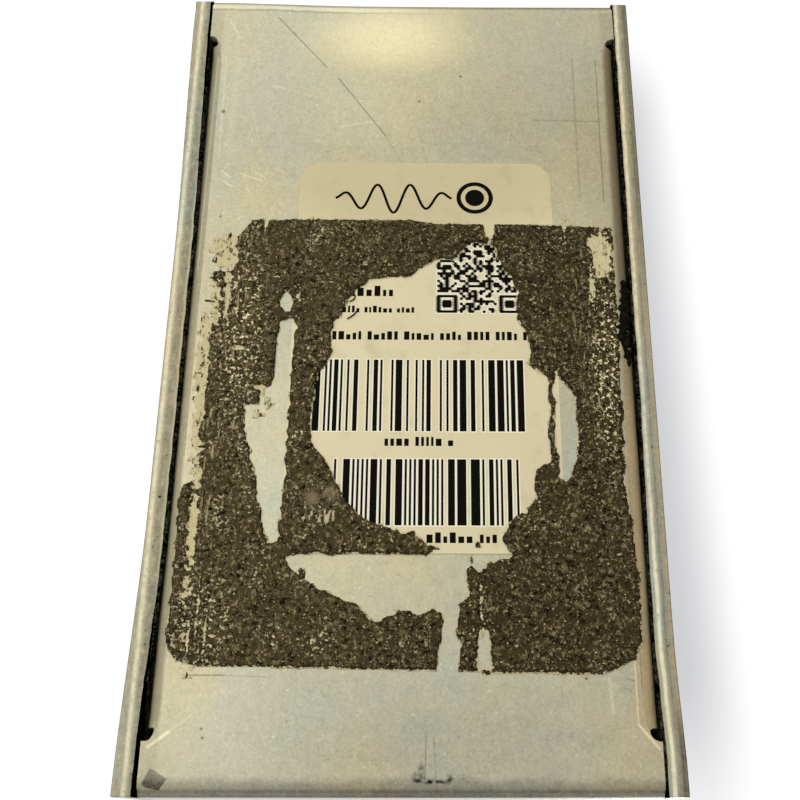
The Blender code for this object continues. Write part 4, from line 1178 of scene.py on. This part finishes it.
def foam_left(x, y, tape):
    """How far each point is inside the foam: the tape without the patches that tore down to the glue."""
    foam = tape
    for centre, half in GLUE:
        rough = min(1.0, min(half) * 1.6)
        torn = rough * (0.3 * lumps(x, y, 0.8, 13) + 0.35 * lumps(x, y, 0.35, 14))
        foam = np.minimum(foam, torn - oval_distance(x, y, centre, half) + 0.04)
    return foam


def glue_left(x, y, tape):
    """How far each point is inside the film of glue: under the tape, and in bare patches beside it."""
    film = tape + np.where(cut_end(y), 0.14, 0.02 + 0.22 * lumps(x, y, 0.9, 21))
    for centre, half in GLUE:
        patch = oval_distance(x, y, centre, half) + 0.45 * lumps(x, y, 0.7, 22) + 0.3 * lumps(x, y, 0.35, 23)
        film = np.maximum(film, patch)
    return film


def tape_residue(material):
    """One thin closed sheet: rough foam where it is left, and a film of glue at its edges."""
    x, y = np.meshgrid(*[np.arange(*ends, CELL) for ends in TAPE_AREA], indexing="ij")
    tape = tape_outline(x, y)
    foam = foam_left(x, y, tape)
    film = glue_left(x, y, tape)
    full = (film[:-1, :-1] + film[1:, :-1] + film[:-1, 1:] + film[1:, 1:]) > 0
    used = np.zeros(x.shape, bool)
    for i, j in ((0, 0), (1, 0), (0, 1), (1, 1)):
        used[i : i + full.shape[0], j : j + full.shape[1]] |= full

    slope_x, slope_y = np.gradient(film, CELL)
    steep = np.maximum(slope_x**2 + slope_y**2, 0.25)
    outside = used & (film < 0)
    shift = np.clip(np.where(outside, -film / steep, 0), 0, 0.6 * CELL)
    x, y = x + shift * slope_x, y + shift * slope_y

    bumps = 0.5 * lumps(x, y, 1.3, 31) + 0.35 * lumps(x, y, 0.6, 32) + 0.3 * lumps(x, y, 0.3, 33)
    seams = np.minimum(np.abs(x - 20 - 0.2 * lumps(x, y, 3, 34)), np.abs(x + 5.2 - 0.3 * lumps(x, y, 4, 35)))
    edge = np.clip(foam / 0.45, 0, 1)
    thick = 0.30 + 0.16 * bumps - 0.14 * np.exp(-((seams / 0.22) ** 2))
    thick = 0.03 + np.clip(thick, 0.08, 0.55) * np.sqrt(edge)

    on_label = edge_distance(x, y, rounded_outline(label_low[:2], label_high[:2], LABEL_RADIUS)) > -0.1
    base = np.where(on_label, LABEL_FACE, PLATE) - GLUE_GAP
    face = np.maximum(base - thick, 0.01)
    index = np.full(x.shape, -1)
    index[used] = np.arange(used.sum())
    count = int(used.sum())
    points = np.concatenate([
        np.stack([x[used], y[used], face[used]], 1),
        np.stack([x[used], y[used], base[used]], 1),
    ])
    faces = []
    filled = np.pad(full, 1)
    for i, j in np.argwhere(full):
        a, b, c, d = index[i, j], index[i, j + 1], index[i + 1, j + 1], index[i + 1, j]
        faces += [(a, b, c, d), (count + d, count + c, count + b, count + a)]
        sides = ((i, j + 1, a, b), (i + 1, j + 2, b, c), (i + 2, j + 1, c, d), (i + 1, j, d, a))
        for k, m, first, second in sides:
            if not filled[k, m]:
                faces.append((second, first, count + first, count + second))
    obj = raw("tape_residue", points, faces)
    depth = np.tile(np.clip(foam[used], -2, 2), 2).astype(np.float32)
    obj.data.attributes.new("foam_depth", "FLOAT", "POINT").data.foreach_set("value", depth)
    nodes = [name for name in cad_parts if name.startswith("tape_residue")]
    settle(obj, material, "case", nodes, sharp=180)


def tape_finish():
    """Crumbly brown foam, black in its pits, with painted glints where its glue would shine, painted shade along its
    torn edge, and the film of glue beside it.
    """
    foam = Paint("torn_foam", Roughness=0.9, Specular_IOR_Level=0.2)
    coat, step, times, blob, spots = foam.coat, foam.step, foam.times, foam.blob, foam.spots
    x = foam.split(foam.at)[0]
    light_side = step(x, -14, 21)
    foam.base(foam.noise(0.35, detail=5, roughness=0.7), (46, 38, 21), (76, 66, 42))
    coat(times(light_side, 0.5), 90, 80, 56)
    crumbs = foam.noise(2.1, detail=3, roughness=0.7, warp=0.5, stretch=(1.15, 0.9, 1.0))
    coat(step(crumbs, 0.5, 0.68), 142, 131, 98)
    pits = foam.noise(1.9, detail=3, roughness=0.7, warp=0.6, stretch=(0.9, 1.1, 1.0))
    coat(step(pits, 0.49, 0.36), 10, 7, 1)
    # Painted glints where the glue would shine, near white, in given areas.
    zone = times(spots(0.3, 0.48, 0.7, detail=3), step(x, -12, 14, 0.3, 0.8))
    zone = foam.most(zone, blob((20, 2), (4.5, 20), 0.2))
    zone = foam.most(zone, blob((-23.5, -2), (2.6, 20), 0.3), times(blob((22, -33), (5, 8), 0.3), 0.8))
    coat(times(spots(2.3, 0.58, 0.62, detail=2, roughness=0.6), zone), 246, 238, 204)
    # Smaller painted glints all over.
    coat(spots(3.0, 0.65, 0.69, detail=2), 206, 196, 156)
    # Streaks of painted glints by the +X and -X edges of the tape.
    streaks = spots(0.8, 0.60, 0.66, detail=4, stretch=(3.2, 0.5, 1))
    edges = foam.most(blob((21.5, 0), (3.2, 38), 0.5), blob((-22.5, 2), (3.4, 18), 0.5))
    coat(times(streaks, edges, 0.6), 204, 194, 154)
    smear = times(blob((9.4, -18.8), (3.4, 1.3), 0.2, -0.25), spots(0.9, 0.35, 0.6, detail=5), 0.75)
    coat(smear, 158, 147, 120)
    dashes = spots(1.1, 0.5, 0.56, detail=2, stretch=(2.2, 0.35, 1))
    coat(times(dashes, blob((9.3, -21.2), (2, 0.9), 0.7)), 205, 198, 170)
    glue = foam.mix(foam.noise(0.9, detail=4), srgb(236, 227, 192), srgb(214, 203, 164))
    stains = spots(1.2, 0.54, 0.59, detail=6, roughness=0.75, stretch=(1.4, 0.8, 1))
    glue = foam.mix(stains, glue, srgb(56, 46, 24))
    depth = foam.attribute("foam_depth")
    fray = foam.total(depth, step(foam.noise(3.0, detail=3), 0.3, 0.7, -0.12, 0.12))
    # Painted shade: a dark line just inside the foam's torn edge.
    coat(times(step(fray, -0.02, 0.08), step(fray, 0.32, 0.12), 0.6), 26, 20, 9)
    foam.colour = foam.mix(step(fray, -0.03, 0.06), glue, foam.colour)
    foam.bump(crumbs, 0.35)
    foam.bump(foam.noise(4.5, detail=3, roughness=0.7), 0.08)
    return foam.done()


def tube(path, radius):
    """A thin round strand along points that lie close to the underside."""
    rings = []
    for i, point in enumerate(path):
        way = Vector(path[min(i + 1, len(path) - 1)]) - Vector(path[max(i - 1, 0)])
        side = Vector((0, 0, 1)).cross(way).normalized()
        up = way.cross(side).normalized()
        thin = radius * (0.35 if i in (0, len(path) - 1) else 1)
        rings.append([
            tuple(Vector(point) + thin * (cos(a) * side + sin(a) * up)) for a in np.linspace(0, 2 * pi, 7)[:-1]
        ])
    return loft(rings)


# Arcs of an ellipse: centre, half sizes, the ellipse's turn, and how many degrees of it there are.
CURLS = [
    (23.5, 8.2, 0.9, 0.3, 0.7, 100), (23.2, 8.9, 0.5, 0.3, 2.4, 110), (23.7, 5.4, 0.9, 0.2, 0.3, 110),
    (7.6, 7.2, 0.9, 0.6, 1.2, 150), (7.0, 6.2, 0.6, 0.5, 2.4, 140), (8.0, 3.5, 1.9, 0.5, 2.7, 75),
    (22.3, 14.6, 0.5, 0.2, 1.8, 100), (23.9, 11.2, 0.4, 0.2, 2.3, 110),
]


def strands(material):
    """Stray curls of black adhesive at the edge of the tape and on the label."""
    shapes = []
    for x, y, long, wide, turn, sweep in CURLS:
        path = []
        for i in range(15):
            angle = radians(sweep) * i / 14
            a, b = long * cos(angle), wide * sin(angle)
            face = LABEL_FACE if abs(x) < 14 else PLATE
            path.append((x + a * cos(turn) - b * sin(turn), y + a * sin(turn) + b * cos(turn), face - 0.1))
        shapes.append(tube(path, 0.085))
    piece("adhesive_curls", joined(*shapes), material, "case")


def goo(material):
    """A lump of black adhesive squeezed into the -X slot, over the flange's bend."""
    rng = np.random.default_rng(41)
    rings = []
    for i in range(33):
        t = i / 32
        y = 9.6 - 12.6 * t
        swell = sin(pi * t) ** 0.5 if 0 < i < 32 else 0.12
        x = -26.0 - 0.25 * sin(7 * t) + rng.uniform(-0.25, 0.25)
        swell *= rng.uniform(0.65, 1.15)
        ring = []
        for j in range(16):
            angle = 2 * pi * j / 16
            grow = swell * rng.uniform(0.8, 1.15)
            ring.append((x + 1.15 * grow * cos(angle), y, PLATE + 0.5 + 0.75 * grow * sin(angle)))
        rings.append(ring)
    piece("slot_goo", loft(rings), material, "case", sharp=80)


def goo_finish():
    """Black adhesive with brown crumbs in it."""
    black = Paint("black_adhesive", Roughness=0.8, Specular_IOR_Level=0.1)
    crumbs = black.noise(2.0, detail=5, roughness=0.7)
    black.base(black.step(crumbs, 0.5, 0.72), (12, 9, 5), (60, 50, 30))
    black.bump(crumbs, 0.3)
    return black.done()


# ---------------------------------------------------------------- screws, nuts and threads


def hex_reach(across, angle):
    """How far a hexagon goes in this direction."""
    return across / 2 / cos((angle + pi / 6) % (pi / 3) - pi / 6)


def threaded(low, high, radius, pitch=0.75, depth=0.32):
    """Profile points for a threaded rod, and the reach that winds the thread round it."""
    rows = int((high - low) / pitch * 6)
    profile = [(radius, low + (high - low) * i / rows) for i in range(rows + 1)]

    def reach(r, z, angle):
        if r != radius or not low < z < high:
            return r
        turn = (z / pitch - angle / (2 * pi)) % 1
        return radius - depth * min(1, 2.6 * abs(turn - 0.5))

    return profile, reach


def nut(across, bore, low, high):
    """A hexagonal nut with turned corners and a chamfered bore."""
    corner = across / 2 / cos(pi / 6)
    edge = min(0.35, (high - low) / 4)
    profile = [(bore + edge, low), (across / 2, low), (corner, low + edge), (corner, high - edge)]
    profile += [(across / 2 * 0.97, high), (bore + edge, high), (bore, high - edge), (bore, low + edge)]

    def reach(r, z, angle):
        return min(r, hex_reach(across, angle)) if r > bore + edge else r

    return turned(profile, 72, looped=True, radius=reach)


def washer(outer, bore, low, high):
    """A flat ring round +z."""
    edge = (high - low) * 0.3
    profile = [(bore, low), (outer - edge, low), (outer, low + edge), (outer, high - edge)]
    profile += [(outer - edge, high), (bore + edge, high), (bore, high - edge)]
    return turned(profile, 72, looped=True)


def cross_recess(head):
    """Cuts the cross for a screwdriver into a head whose top is at z = 0."""
    wide = [(1.5, 0.4, 0.4), (0.75, 0.28, -1.2)]
    for turn in (0, 1):
        rings = []
        for long, thick, z in reversed(wide):
            a, b = (long, thick) if turn == 0 else (thick, long)
            rings.append([(-a, -b, z), (a, -b, z), (a, b, z), (-a, b, z)])
        cut(head, loft(rings))


def case_screws(material):
    """Countersunk machine screws with a cross recess."""
    length = corners(SCREWS[1])[1][0] - corners(SCREWS[1])[0][0]
    for name in SCREWS:
        way = int(np.sign(middle(name)[0]))
        rows, reach = threaded(0.5 - length, -1.6, 1.45, 0.5, 0.22)
        profile = [(1.0, -length), (1.35, 0.25 - length)] + rows
        profile += [(1.5, -1.35), (2.72, -0.18), (2.78, -0.1), (2.6, -0.02), (1.6, 0.03), (0.4, 0.05)]
        screw = raw(name + "_head", *turned(profile, 40, radius=reach))
        cross_recess(screw)
        screw.data.transform(on_side(name, way, way * (HALF_WIDTH - 0.08)))
        settle(screw, material, "case", [name])


# ---------------------------------------------------------------- controls on the top

FLUTES = 20
POINTER_WIDTH, POINTER_DEEP = 0.84, 0.3
TICKS_FROM, TICK_WIDTH = 9.3, 0.34
SWITCH_THREAD = 6.0
SWITCH_BORE = 6.05


def knob_shape(bottom, top):
    """A fluted knob, hollow underneath, with a rounded rim and a shallow dish in its top."""
    hollow = corners("gain_pot_body")[1][2] + 0.4
    skirt, crown = 8.5, 7.5
    bore = [(3.05, top - 2.1), (3.05, hollow + 0.25), (3.3, hollow), (7.0, hollow), (7.0, bottom + 0.4)]
    outside = [(7.3, bottom), (8.25, bottom), (8.48, bottom + 0.2), (skirt, bottom + 0.5), (skirt, bottom + 1.6)]
    for i in range(12):
        t = i / 11
        outside.append((skirt - 0.08 - (skirt - 0.08 - crown) * t, bottom + 2.1 + (top - bottom - 3.3) * t))
    rim = [(crown - inset, top - drop) for inset, drop in ((0.02, 0.8), (0.1, 0.45), (0.32, 0.17), (0.66, 0.03))]
    dish = [(crown - 1.1, top), (crown - 1.6, top - 0.04), (crown - 2.1, top - 0.14), (0.4, top - 0.16)]

    def reach(r, z, angle):
        if r < 7.3 or not bottom + 2 < z < top - 1.0:
            return r
        return r - 0.42 * max(0.0, -cos(FLUTES * (angle - pi / 2))) ** 0.7

    return turned(bore + outside + rim + dish, FLUTES * 10, radius=reach)


def pointer_shape(bottom, top):
    """The white line, let into the top and the side of a knob."""
    path = [(1.6, top - 0.14), (5.35, top - 0.13), (5.9, top - 0.01), (6.4, top + 0.02), (6.84, top)]
    path += [(7.2, top - 0.14), (7.43, top - 0.42), (7.51, top - 0.8), (7.55, top - 1.3), (8.43, bottom + 2.2)]
    rings = []
    for (y, z), (dy, dz) in zip(path, runs(path)):
        back = (y + dz / hypot(dy, dz) * POINTER_DEEP, z - dy / hypot(dy, dz) * POINTER_DEEP)
        half = POINTER_WIDTH / 2
        rings.append([(-half, y, z), (half, y, z), (half, *back), (-half, *back)])
    return loft(rings)


def set_screw_shape(length):
    """A headless screw with a hexagonal socket, its mouth at z = length."""
    rows, reach = threaded(0.3, length - 0.2, 1.36, 0.5, 0.14)
    profile = [(1.1, 0), (1.3, 0.25)] + rows + [(1.15, length), (0.8, length)]
    socket = [(0.79, length - 0.05), (0.79, length - 1.6)]

    def hexed(r, z, angle):
        return hex_reach(1.5, angle) * 0.99 if r == 0.79 else reach(r, z, angle)

    return turned(profile + socket, 48, radius=hexed)


def knob(name, plastic, white, steel):
    """A knob with its pointer line, tapped at the back for its set screw."""
    bottom, top = z_span(f"{name}_knob")
    x, y, _ = middle(f"{name}_knob")
    screw_low, screw_high = corners(f"{name}_knob_set_screw")
    screw_z = (screw_low[2] + screw_high[2]) / 2
    place = on_axis((x, y, 0))
    body = raw(f"{name}_knob_body", *knob_shape(bottom, top))
    tap = turned([(1.45, 3.4), (1.45, 12)], 32)
    cut(body, tap, on_axis((0, 0, screw_z), REARWARDS, -1))
    body.data.transform(place)
    settle(body, plastic, f"{name}_control", [f"{name}_knob"], sharp=32)
    piece(f"{name}_knob_line", pointer_shape(bottom, top), white, f"{name}_control", place=place)
    screw = set_screw_shape(screw_high[1] - screw_low[1])
    way = on_axis((x, screw_high[1], screw_z), REARWARDS, -1)
    own = [f"{name}_knob_set_screw"]
    piece(f"{name}_socket_screw", screw, steel, f"{name}_control", own, way)


def dial_marks(material):
    """Eleven printed ticks round each knob, longer at its stops and straight ahead."""
    strokes = []
    for name in KNOBS:
        x, y, _ = middle(f"{name}_knob")
        for i in range(11):
            angle = radians(240 - 30 * i)
            c, s = cos(angle), sin(angle)
            far = TICKS_FROM + (1.5 if i in (0, 5, 10) else 1.0)
            flat = [(a, b * TICK_WIDTH / 2) for a, b in ((TICKS_FROM, -1), (far, -1), (far, 1), (TICKS_FROM, 1))]
            spot = [(x + a * c - b * s, y + a * s + b * c) for a, b in flat]
            strokes.append(loft([[(a, b, z) for a, b in spot] for z in (TOP - 0.02, TOP + 0.025)]))
    piece("dial_marks", joined(*strokes), material, "case")


def footswitch(chrome, steel, nylon):
    """The threaded sleeve, its two nuts and washer, and the domed button in it."""
    bottom, top = z_span("footswitch_bushing")
    place = upright("footswitch_bushing")
    rows, reach = threaded(bottom + 1.4, top - 0.5, SWITCH_THREAD)
    profile = [(4.1, bottom), (7.1, bottom), (7.2, bottom + 0.1), (7.2, bottom + 1.05), (7.1, bottom + 1.15)]
    profile += [(5.75, bottom + 1.2), *rows, (5.55, top), (4.4, top), (3.98, top - 0.35), (3.98, bottom + 0.1)]
    bushing = turned(profile, 72, looped=True, radius=reach)
    piece("footswitch_sleeve", bushing, chrome, "case", ["footswitch_bushing"], place)
    for name in ("dress", "lock"):
        shape = nut(14, SWITCH_BORE, *z_span(f"footswitch_{name}_nut"))
        piece(f"footswitch_{name}_hexagon", shape, steel, "case", [f"footswitch_{name}_nut"], place)
    shape = washer(8.6, SWITCH_BORE, *z_span("footswitch_washer"))
    piece("footswitch_cushion", shape, nylon, "case", ["footswitch_washer"], place)
    bottom, top = z_span("footswitch_plunger")
    profile = [(3.5, bottom), (3.8, bottom + 0.15), (3.9, bottom + 0.4)]
    profile += [(3.9, z) for z in np.linspace(bottom + 2, top - 1.5, 5)]
    for i in range(9):
        angle = pi / 2 * i / 8
        profile.append((2.7 + 1.2 * cos(angle), top - 1.3 + 1.15 * sin(angle)))
    profile += [(1.8, top - 0.08), (0.9, top - 0.03), (0.3, top)]
    button = turned(profile, 64)
    piece("footswitch_button", button, chrome, "footswitch_button", ["footswitch_plunger"], place)


def return_spring(steel):
    """The spring under the button."""
    low, high = corners("footswitch_spring")
    wire, turns, per_turn, travel = 0.35, 4, 24, 2.5
    x, y, _ = (low + high) / 2
    coil = (high[0] - low[0]) / 2 - wire
    rings = []
    for i in range(turns * per_turn + 1):
        angle = 2 * pi * i / per_turn
        z = low[2] + wire + (high[2] - low[2] - 2 * wire) * i / (turns * per_turn)
        ring = []
        for j in range(8):
            around = 2 * pi * j / 8
            reach = coil + wire * cos(around)
            ring.append((x + reach * cos(angle), y + reach * sin(angle), z - wire * sin(around)))
        rings.append(ring)
    coil_piece = piece("footswitch_coil", loft(rings), steel, "case", ["footswitch_spring"])
    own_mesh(coil_piece)


def indicator(chrome, red, tin):
    """The LED in its turned bezel."""
    bottom, top = z_span("led_bezel")
    place = upright("led_bezel")
    face = TOP + 0.05
    profile = [(2.56, bottom), (3.75, bottom), (3.9, bottom + 0.2), (3.9, face), (4.85, face), (5.0, face + 0.15)]
    profile += [(5.0, face + 0.6), (4.88, face + 0.9), (4.55, top - 0.04), (4.15, top), (3.8, top - 0.06)]
    profile += [(3.3, face + 0.85), (2.7, face + 0.6), (2.56, face + 0.5)]
    piece("led_ring", turned(profile, 64, looped=True), chrome, "case", ["led_bezel"], place)
    bottom, top = z_span("status_led")
    base, dome = 28.15, top - 2.5
    profile = [(2.5, base - 1.8), (2.7, base - 1.7), (2.7, base - 0.9), (2.5, base - 0.8)]
    profile += [(2.5, z) for z in (base, dome - 1, dome)]
    profile += [(2.5 * cos(pi / 2 * i / 9), dome + 2.5 * sin(pi / 2 * i / 9)) for i in range(1, 9)]
    piece("led_lens", turned(profile, 48), red, "case", ["status_led"], place)
    leads = [block((x - 0.25, -0.25, bottom), (x + 0.25, 0.25, base - 1.6)) for x in (-1.27, 1.27)]
    piece("led_leads", joined(*leads), tin, "case", place=place)


# ---------------------------------------------------------------- sockets

NECK_THREAD, NECK_BORE = 4.65, 4.75


def jack(name, nylon, steel):
    """A moulded jack with a threaded neck, fixed by a thin washer and nut."""
    low, high = corners(f"{name}_jack_housing")
    way = JACKS[name]
    depth = high[0] - low[0]
    end = high[0] if way > 0 else low[0]
    wall = way * (HALF_WIDTH - COVER_SHEET) - end
    inside = abs(wall) + 0.05
    half_y, half_z = (high[1] - low[1]) / 2, (high[2] - low[2]) / 2
    body = raw(f"{name}_jack_body", *block((-half_z, -half_y, -depth), (half_z, half_y, -inside)))
    bevel(body, 0.5, segments=3)
    rows, reach = threaded(-inside + 0.2, -0.3, NECK_THREAD, 0.7, 0.25)
    neck = [(4.3, -inside - 2), (4.3, -inside)] + rows + [(4.35, 0), (1.0, 0)]
    cut(body, turned(neck, 64, radius=reach), operation="UNION")
    cut(body, turned([(3.25, 2.3 - depth), (3.25, -0.35), (3.65, 0.1), (3.65, 2)], 48))
    body.data.transform(on_side(f"{name}_jack_nut", way, end))
    settle(body, nylon, "case", [f"{name}_jack_housing"])
    for kind in ("washer", "nut"):
        node = f"{name}_jack_{kind}"
        low, high = corners(node)
        thick = high[0] - low[0]
        shape = washer(6.6, NECK_BORE, 0, thick) if kind == "washer" else nut(12, NECK_BORE, 0, thick)
        place = on_side(f"{name}_jack_nut", way, low[0] if way > 0 else high[0])
        piece(f"{name}_ring_{kind}", shape, steel, "case", [node], place)


def power_inlet(nylon):
    """The power socket's body, with a collar round its mouth and a slot for the contact below."""
    low, high = corners("power_jack_housing")
    pin = middle("power_jack_pin")
    body = raw("power_jack_body", *block(low, high))
    bevel(body, 0.6, segments=3)
    place = on_axis((pin[0], high[1], pin[2]), REARWARDS)
    ring = turned([(3.4, -0.5), (4.4, -0.5), (4.4, 0.6), (4.1, 0.8), (3.6, 0.8), (3.4, 0.6)], 48, looped=True)
    cut(body, ring, place, "UNION")
    cut(body, turned([(2.9, -10), (2.9, -0.3), (3.4, 0.2), (3.4, 3)], 48), place)
    cut(body, turned([(1.1, -14.2), (1.1, -9)], 24), place)
    cut(body, block((-1.5, high[1] - 9, low[2] - 1), (1.5, high[1] - 2, pin[2] - 1)))
    settle(body, nylon, "case", ["power_jack_housing"])


# ---------------------------------------------------------------- plated, moulded and printed finishes


def plated(name, colour, roughness):
    """Plated metal: fine turning marks, faint hazy patches and a few dark specks."""
    metal = Paint(name, Metallic=1.0)
    colour = srgb(*colour)
    haze = metal.noise(0.7, detail=4)
    marks = metal.noise(2.5, detail=3, stretch=(1, 1, 8))
    tint = metal.mix(metal.step(haze, 0.35, 0.7), colour, tuple(c * k for c, k in zip(colour, (0.86, 0.84, 0.8, 1))))
    specks = metal.spots(5, 0.7, 0.76, detail=1)
    metal.put("Base Color", metal.mix(metal.times(specks, 0.6), tint, (0.09, 0.08, 0.06, 1)))
    metal.put("Roughness", metal.total(roughness, metal.step(haze, 0.3, 0.7, -0.06, 0.06), metal.times(marks, 0.05)))
    metal.bump(marks, 0.004)
    return metal.done()


def moulded(name, dark, light, roughness, grain=4.0, depth=0.01):
    """Moulded plastic: a spark-eroded grain, a faint flow pattern and dusty, duller patches."""
    plastic = Paint(name, Specular_IOR_Level=0.4)
    dark, light = srgb(*dark), srgb(*light)
    flow = plastic.noise(0.25, detail=4, warp=0.8)
    pores = plastic.noise(grain, detail=3)
    dust = plastic.times(plastic.spots(1.3, 0.5, 0.75, detail=5), 0.35)
    base = plastic.mix(plastic.step(flow, 0.3, 0.7), dark, light)
    dusty = tuple(min(1.0, c * 1.6 + 0.02) for c in light[:3])
    plastic.put("Base Color", plastic.mix(dust, base, (*dusty, 1)))
    plastic.put("Roughness", plastic.total(roughness, plastic.times(pores, 0.12), plastic.times(dust, 0.4)))
    plastic.bump(pores, depth)
    return plastic.done()


def clear_red():
    """Clear red plastic, darker towards its foot."""
    lens = Paint("red_lens", Roughness=0.12, Transmission_Weight=0.55, IOR=1.5, Coat_Weight=0.5)
    z = lens.split(lens.at)[2]
    lens.base(lens.step(z, TOP + 2.5, TOP - 2), (214, 34, 22), (120, 8, 8))
    lens.coat(lens.times(lens.noise(1.5), 0.25), 235, 90, 60)
    return lens.done()


def circuit_board():
    """Green solder mask over copper tracks, with tinned pads in rows."""
    board = Paint("circuit_board", Roughness=0.35)
    tracks = board.cells(0.28, stretch=(1.0, 0.55, 1.0), feature="DISTANCE_TO_EDGE")
    copper = board.step(tracks, 0.05, 0.08)
    board.base(copper, (24, 92, 58), (38, 128, 78))
    pads = board.step(board.cells(0.394), 0.16, 0.13)
    board.coat(board.noise(1.0), 20, 84, 52)
    board.coat(pads, 196, 190, 172)
    board.put("Metallic", board.times(pads, 0.9))
    board.bump(copper, 0.03)
    return board.done()


def ribbon_plastic():
    """Grey ribbon with one red edge wire, ribbed along its wires."""
    ribbon = Paint("ribbon_plastic", Roughness=0.5)
    x = ribbon.split(ribbon.at)[0]
    wire = ribbon.calc("ABSOLUTE", ribbon.calc("SINE", ribbon.times(x, pi / 1.27)))
    ribbon.base(ribbon.noise(1.5, detail=3), (150, 150, 148), (172, 171, 167))
    ribbon.coat(ribbon.step(x, 2.7, 2.75), 176, 44, 36)
    ribbon.coat(ribbon.step(wire, 0.25, 0.0), 90, 90, 90)
    ribbon.bump(wire, 0.25)
    return ribbon.done()


def capacitor_sleeve():
    """Dark blue sleeve with a pale stripe, and a bare metal top."""
    sleeve = Paint("capacitor_sleeve", Roughness=0.35)
    x, _, z = sleeve.split(sleeve.at)
    top = sleeve.step(z, 29.55, 29.65)
    stripe = sleeve.step(sleeve.calc("SINE", sleeve.times(x, 1.1)), 0.86, 0.9)
    sleeve.base(sleeve.noise(2.0, detail=3), (20, 26, 44), (30, 38, 62))
    sleeve.coat(stripe, 182, 184, 186)
    sleeve.coat(top, 200, 200, 198)
    sleeve.put("Metallic", top)
    sleeve.bump(sleeve.noise(3, detail=2), 0.01)
    return sleeve.done()


def inside_parts(finishes):
    """Gives the CAD solids that stay in view, inside the case and under the knobs, their finishes."""
    kinds = {
        "circuit_board": ("main_circuit_board", "footswitch_board"),
        "chip_epoxy": ("amplifier_chip",),
        "capacitor_sleeve": ("input_capacitor", "output_capacitor", "supply_capacitor"),
        "tinned_bronze": ("input_jack_tip_contact", "output_jack_tip_contact", "power_jack_pin",
                          "power_jack_sleeve_contact"),
        "blue_nylon": ("footswitch_body",),
        "ribbon_plastic": ("ribbon_cable",),
        "zinc_steel": tuple(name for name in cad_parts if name.startswith("clinch_nut")),
        "nickel": tuple(f"{name}_pot_{part}" for name in KNOBS for part in ("body", "nut", "shaft", "washer")),
    }
    for finish, names in kinds.items():
        for name in names:
            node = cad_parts[name]
            node.data.materials.clear()
            node.data.materials.append(finishes[finish])


# ---------------------------------------------------------------- the whole pedal

# Plated metals: colour and roughness.
PLATED = {
    "nickel": ((208, 204, 196), 0.2),
    "zinc_steel": ((188, 184, 172), 0.34),
    "tinned_bronze": ((206, 190, 150), 0.28),
}
# Plastics and paint: dark and light tone, roughness, and the scale and depth of the grain.
MOULDED = {
    "knob_plastic": ((22, 22, 23), (30, 30, 31), 0.38, 3.0, 0.008),
    "pointer_white": ((228, 226, 218), (238, 236, 230), 0.45, 3.0, 0.006),
    "dial_print": ((26, 25, 24), (36, 35, 33), 0.5, 5.0, 0.004),
    "black_nylon": ((24, 24, 26), (34, 34, 36), 0.48),
    "white_nylon": ((222, 218, 206), (234, 230, 220), 0.45),
    "blue_nylon": ((28, 74, 150), (38, 90, 172), 0.4),
    "chip_epoxy": ((30, 30, 31), (42, 42, 43), 0.6, 6.0, 0.012),
}
finishes = {name: plated(name, *look) for name, look in PLATED.items()}
finishes |= {name: moulded(name, *look) for name, look in MOULDED.items()}
finishes |= {make.__name__: make() for make in (circuit_board, ribbon_plastic, capacitor_sleeve)}

camera()
sky()
stage()
base_tray(plate_metal())
cover(cover_metal())
white = print_finish("label_white", 1.2, (246, 243, 232), (252, 250, 240), Roughness=0.5)
black = print_finish("label_ink", 2.5, (6, 5, 4), (16, 14, 11), Roughness=0.6, Specular_IOR_Level=0.05)
label(paper_finish(), white, black)
tape_residue(tape_finish())
adhesive = goo_finish()
strands(adhesive)
goo(adhesive)
case_screws(finishes["zinc_steel"])
for control in KNOBS:
    knob(control, finishes["knob_plastic"], finishes["pointer_white"], finishes["zinc_steel"])
dial_marks(finishes["dial_print"])
footswitch(finishes["nickel"], finishes["zinc_steel"], finishes["white_nylon"])
return_spring(finishes["zinc_steel"])
indicator(finishes["nickel"], clear_red(), finishes["tinned_bronze"])
for socket in JACKS:
    jack(socket, finishes["black_nylon"], finishes["nickel"])
power_inlet(finishes["black_nylon"])
inside_parts(finishes)
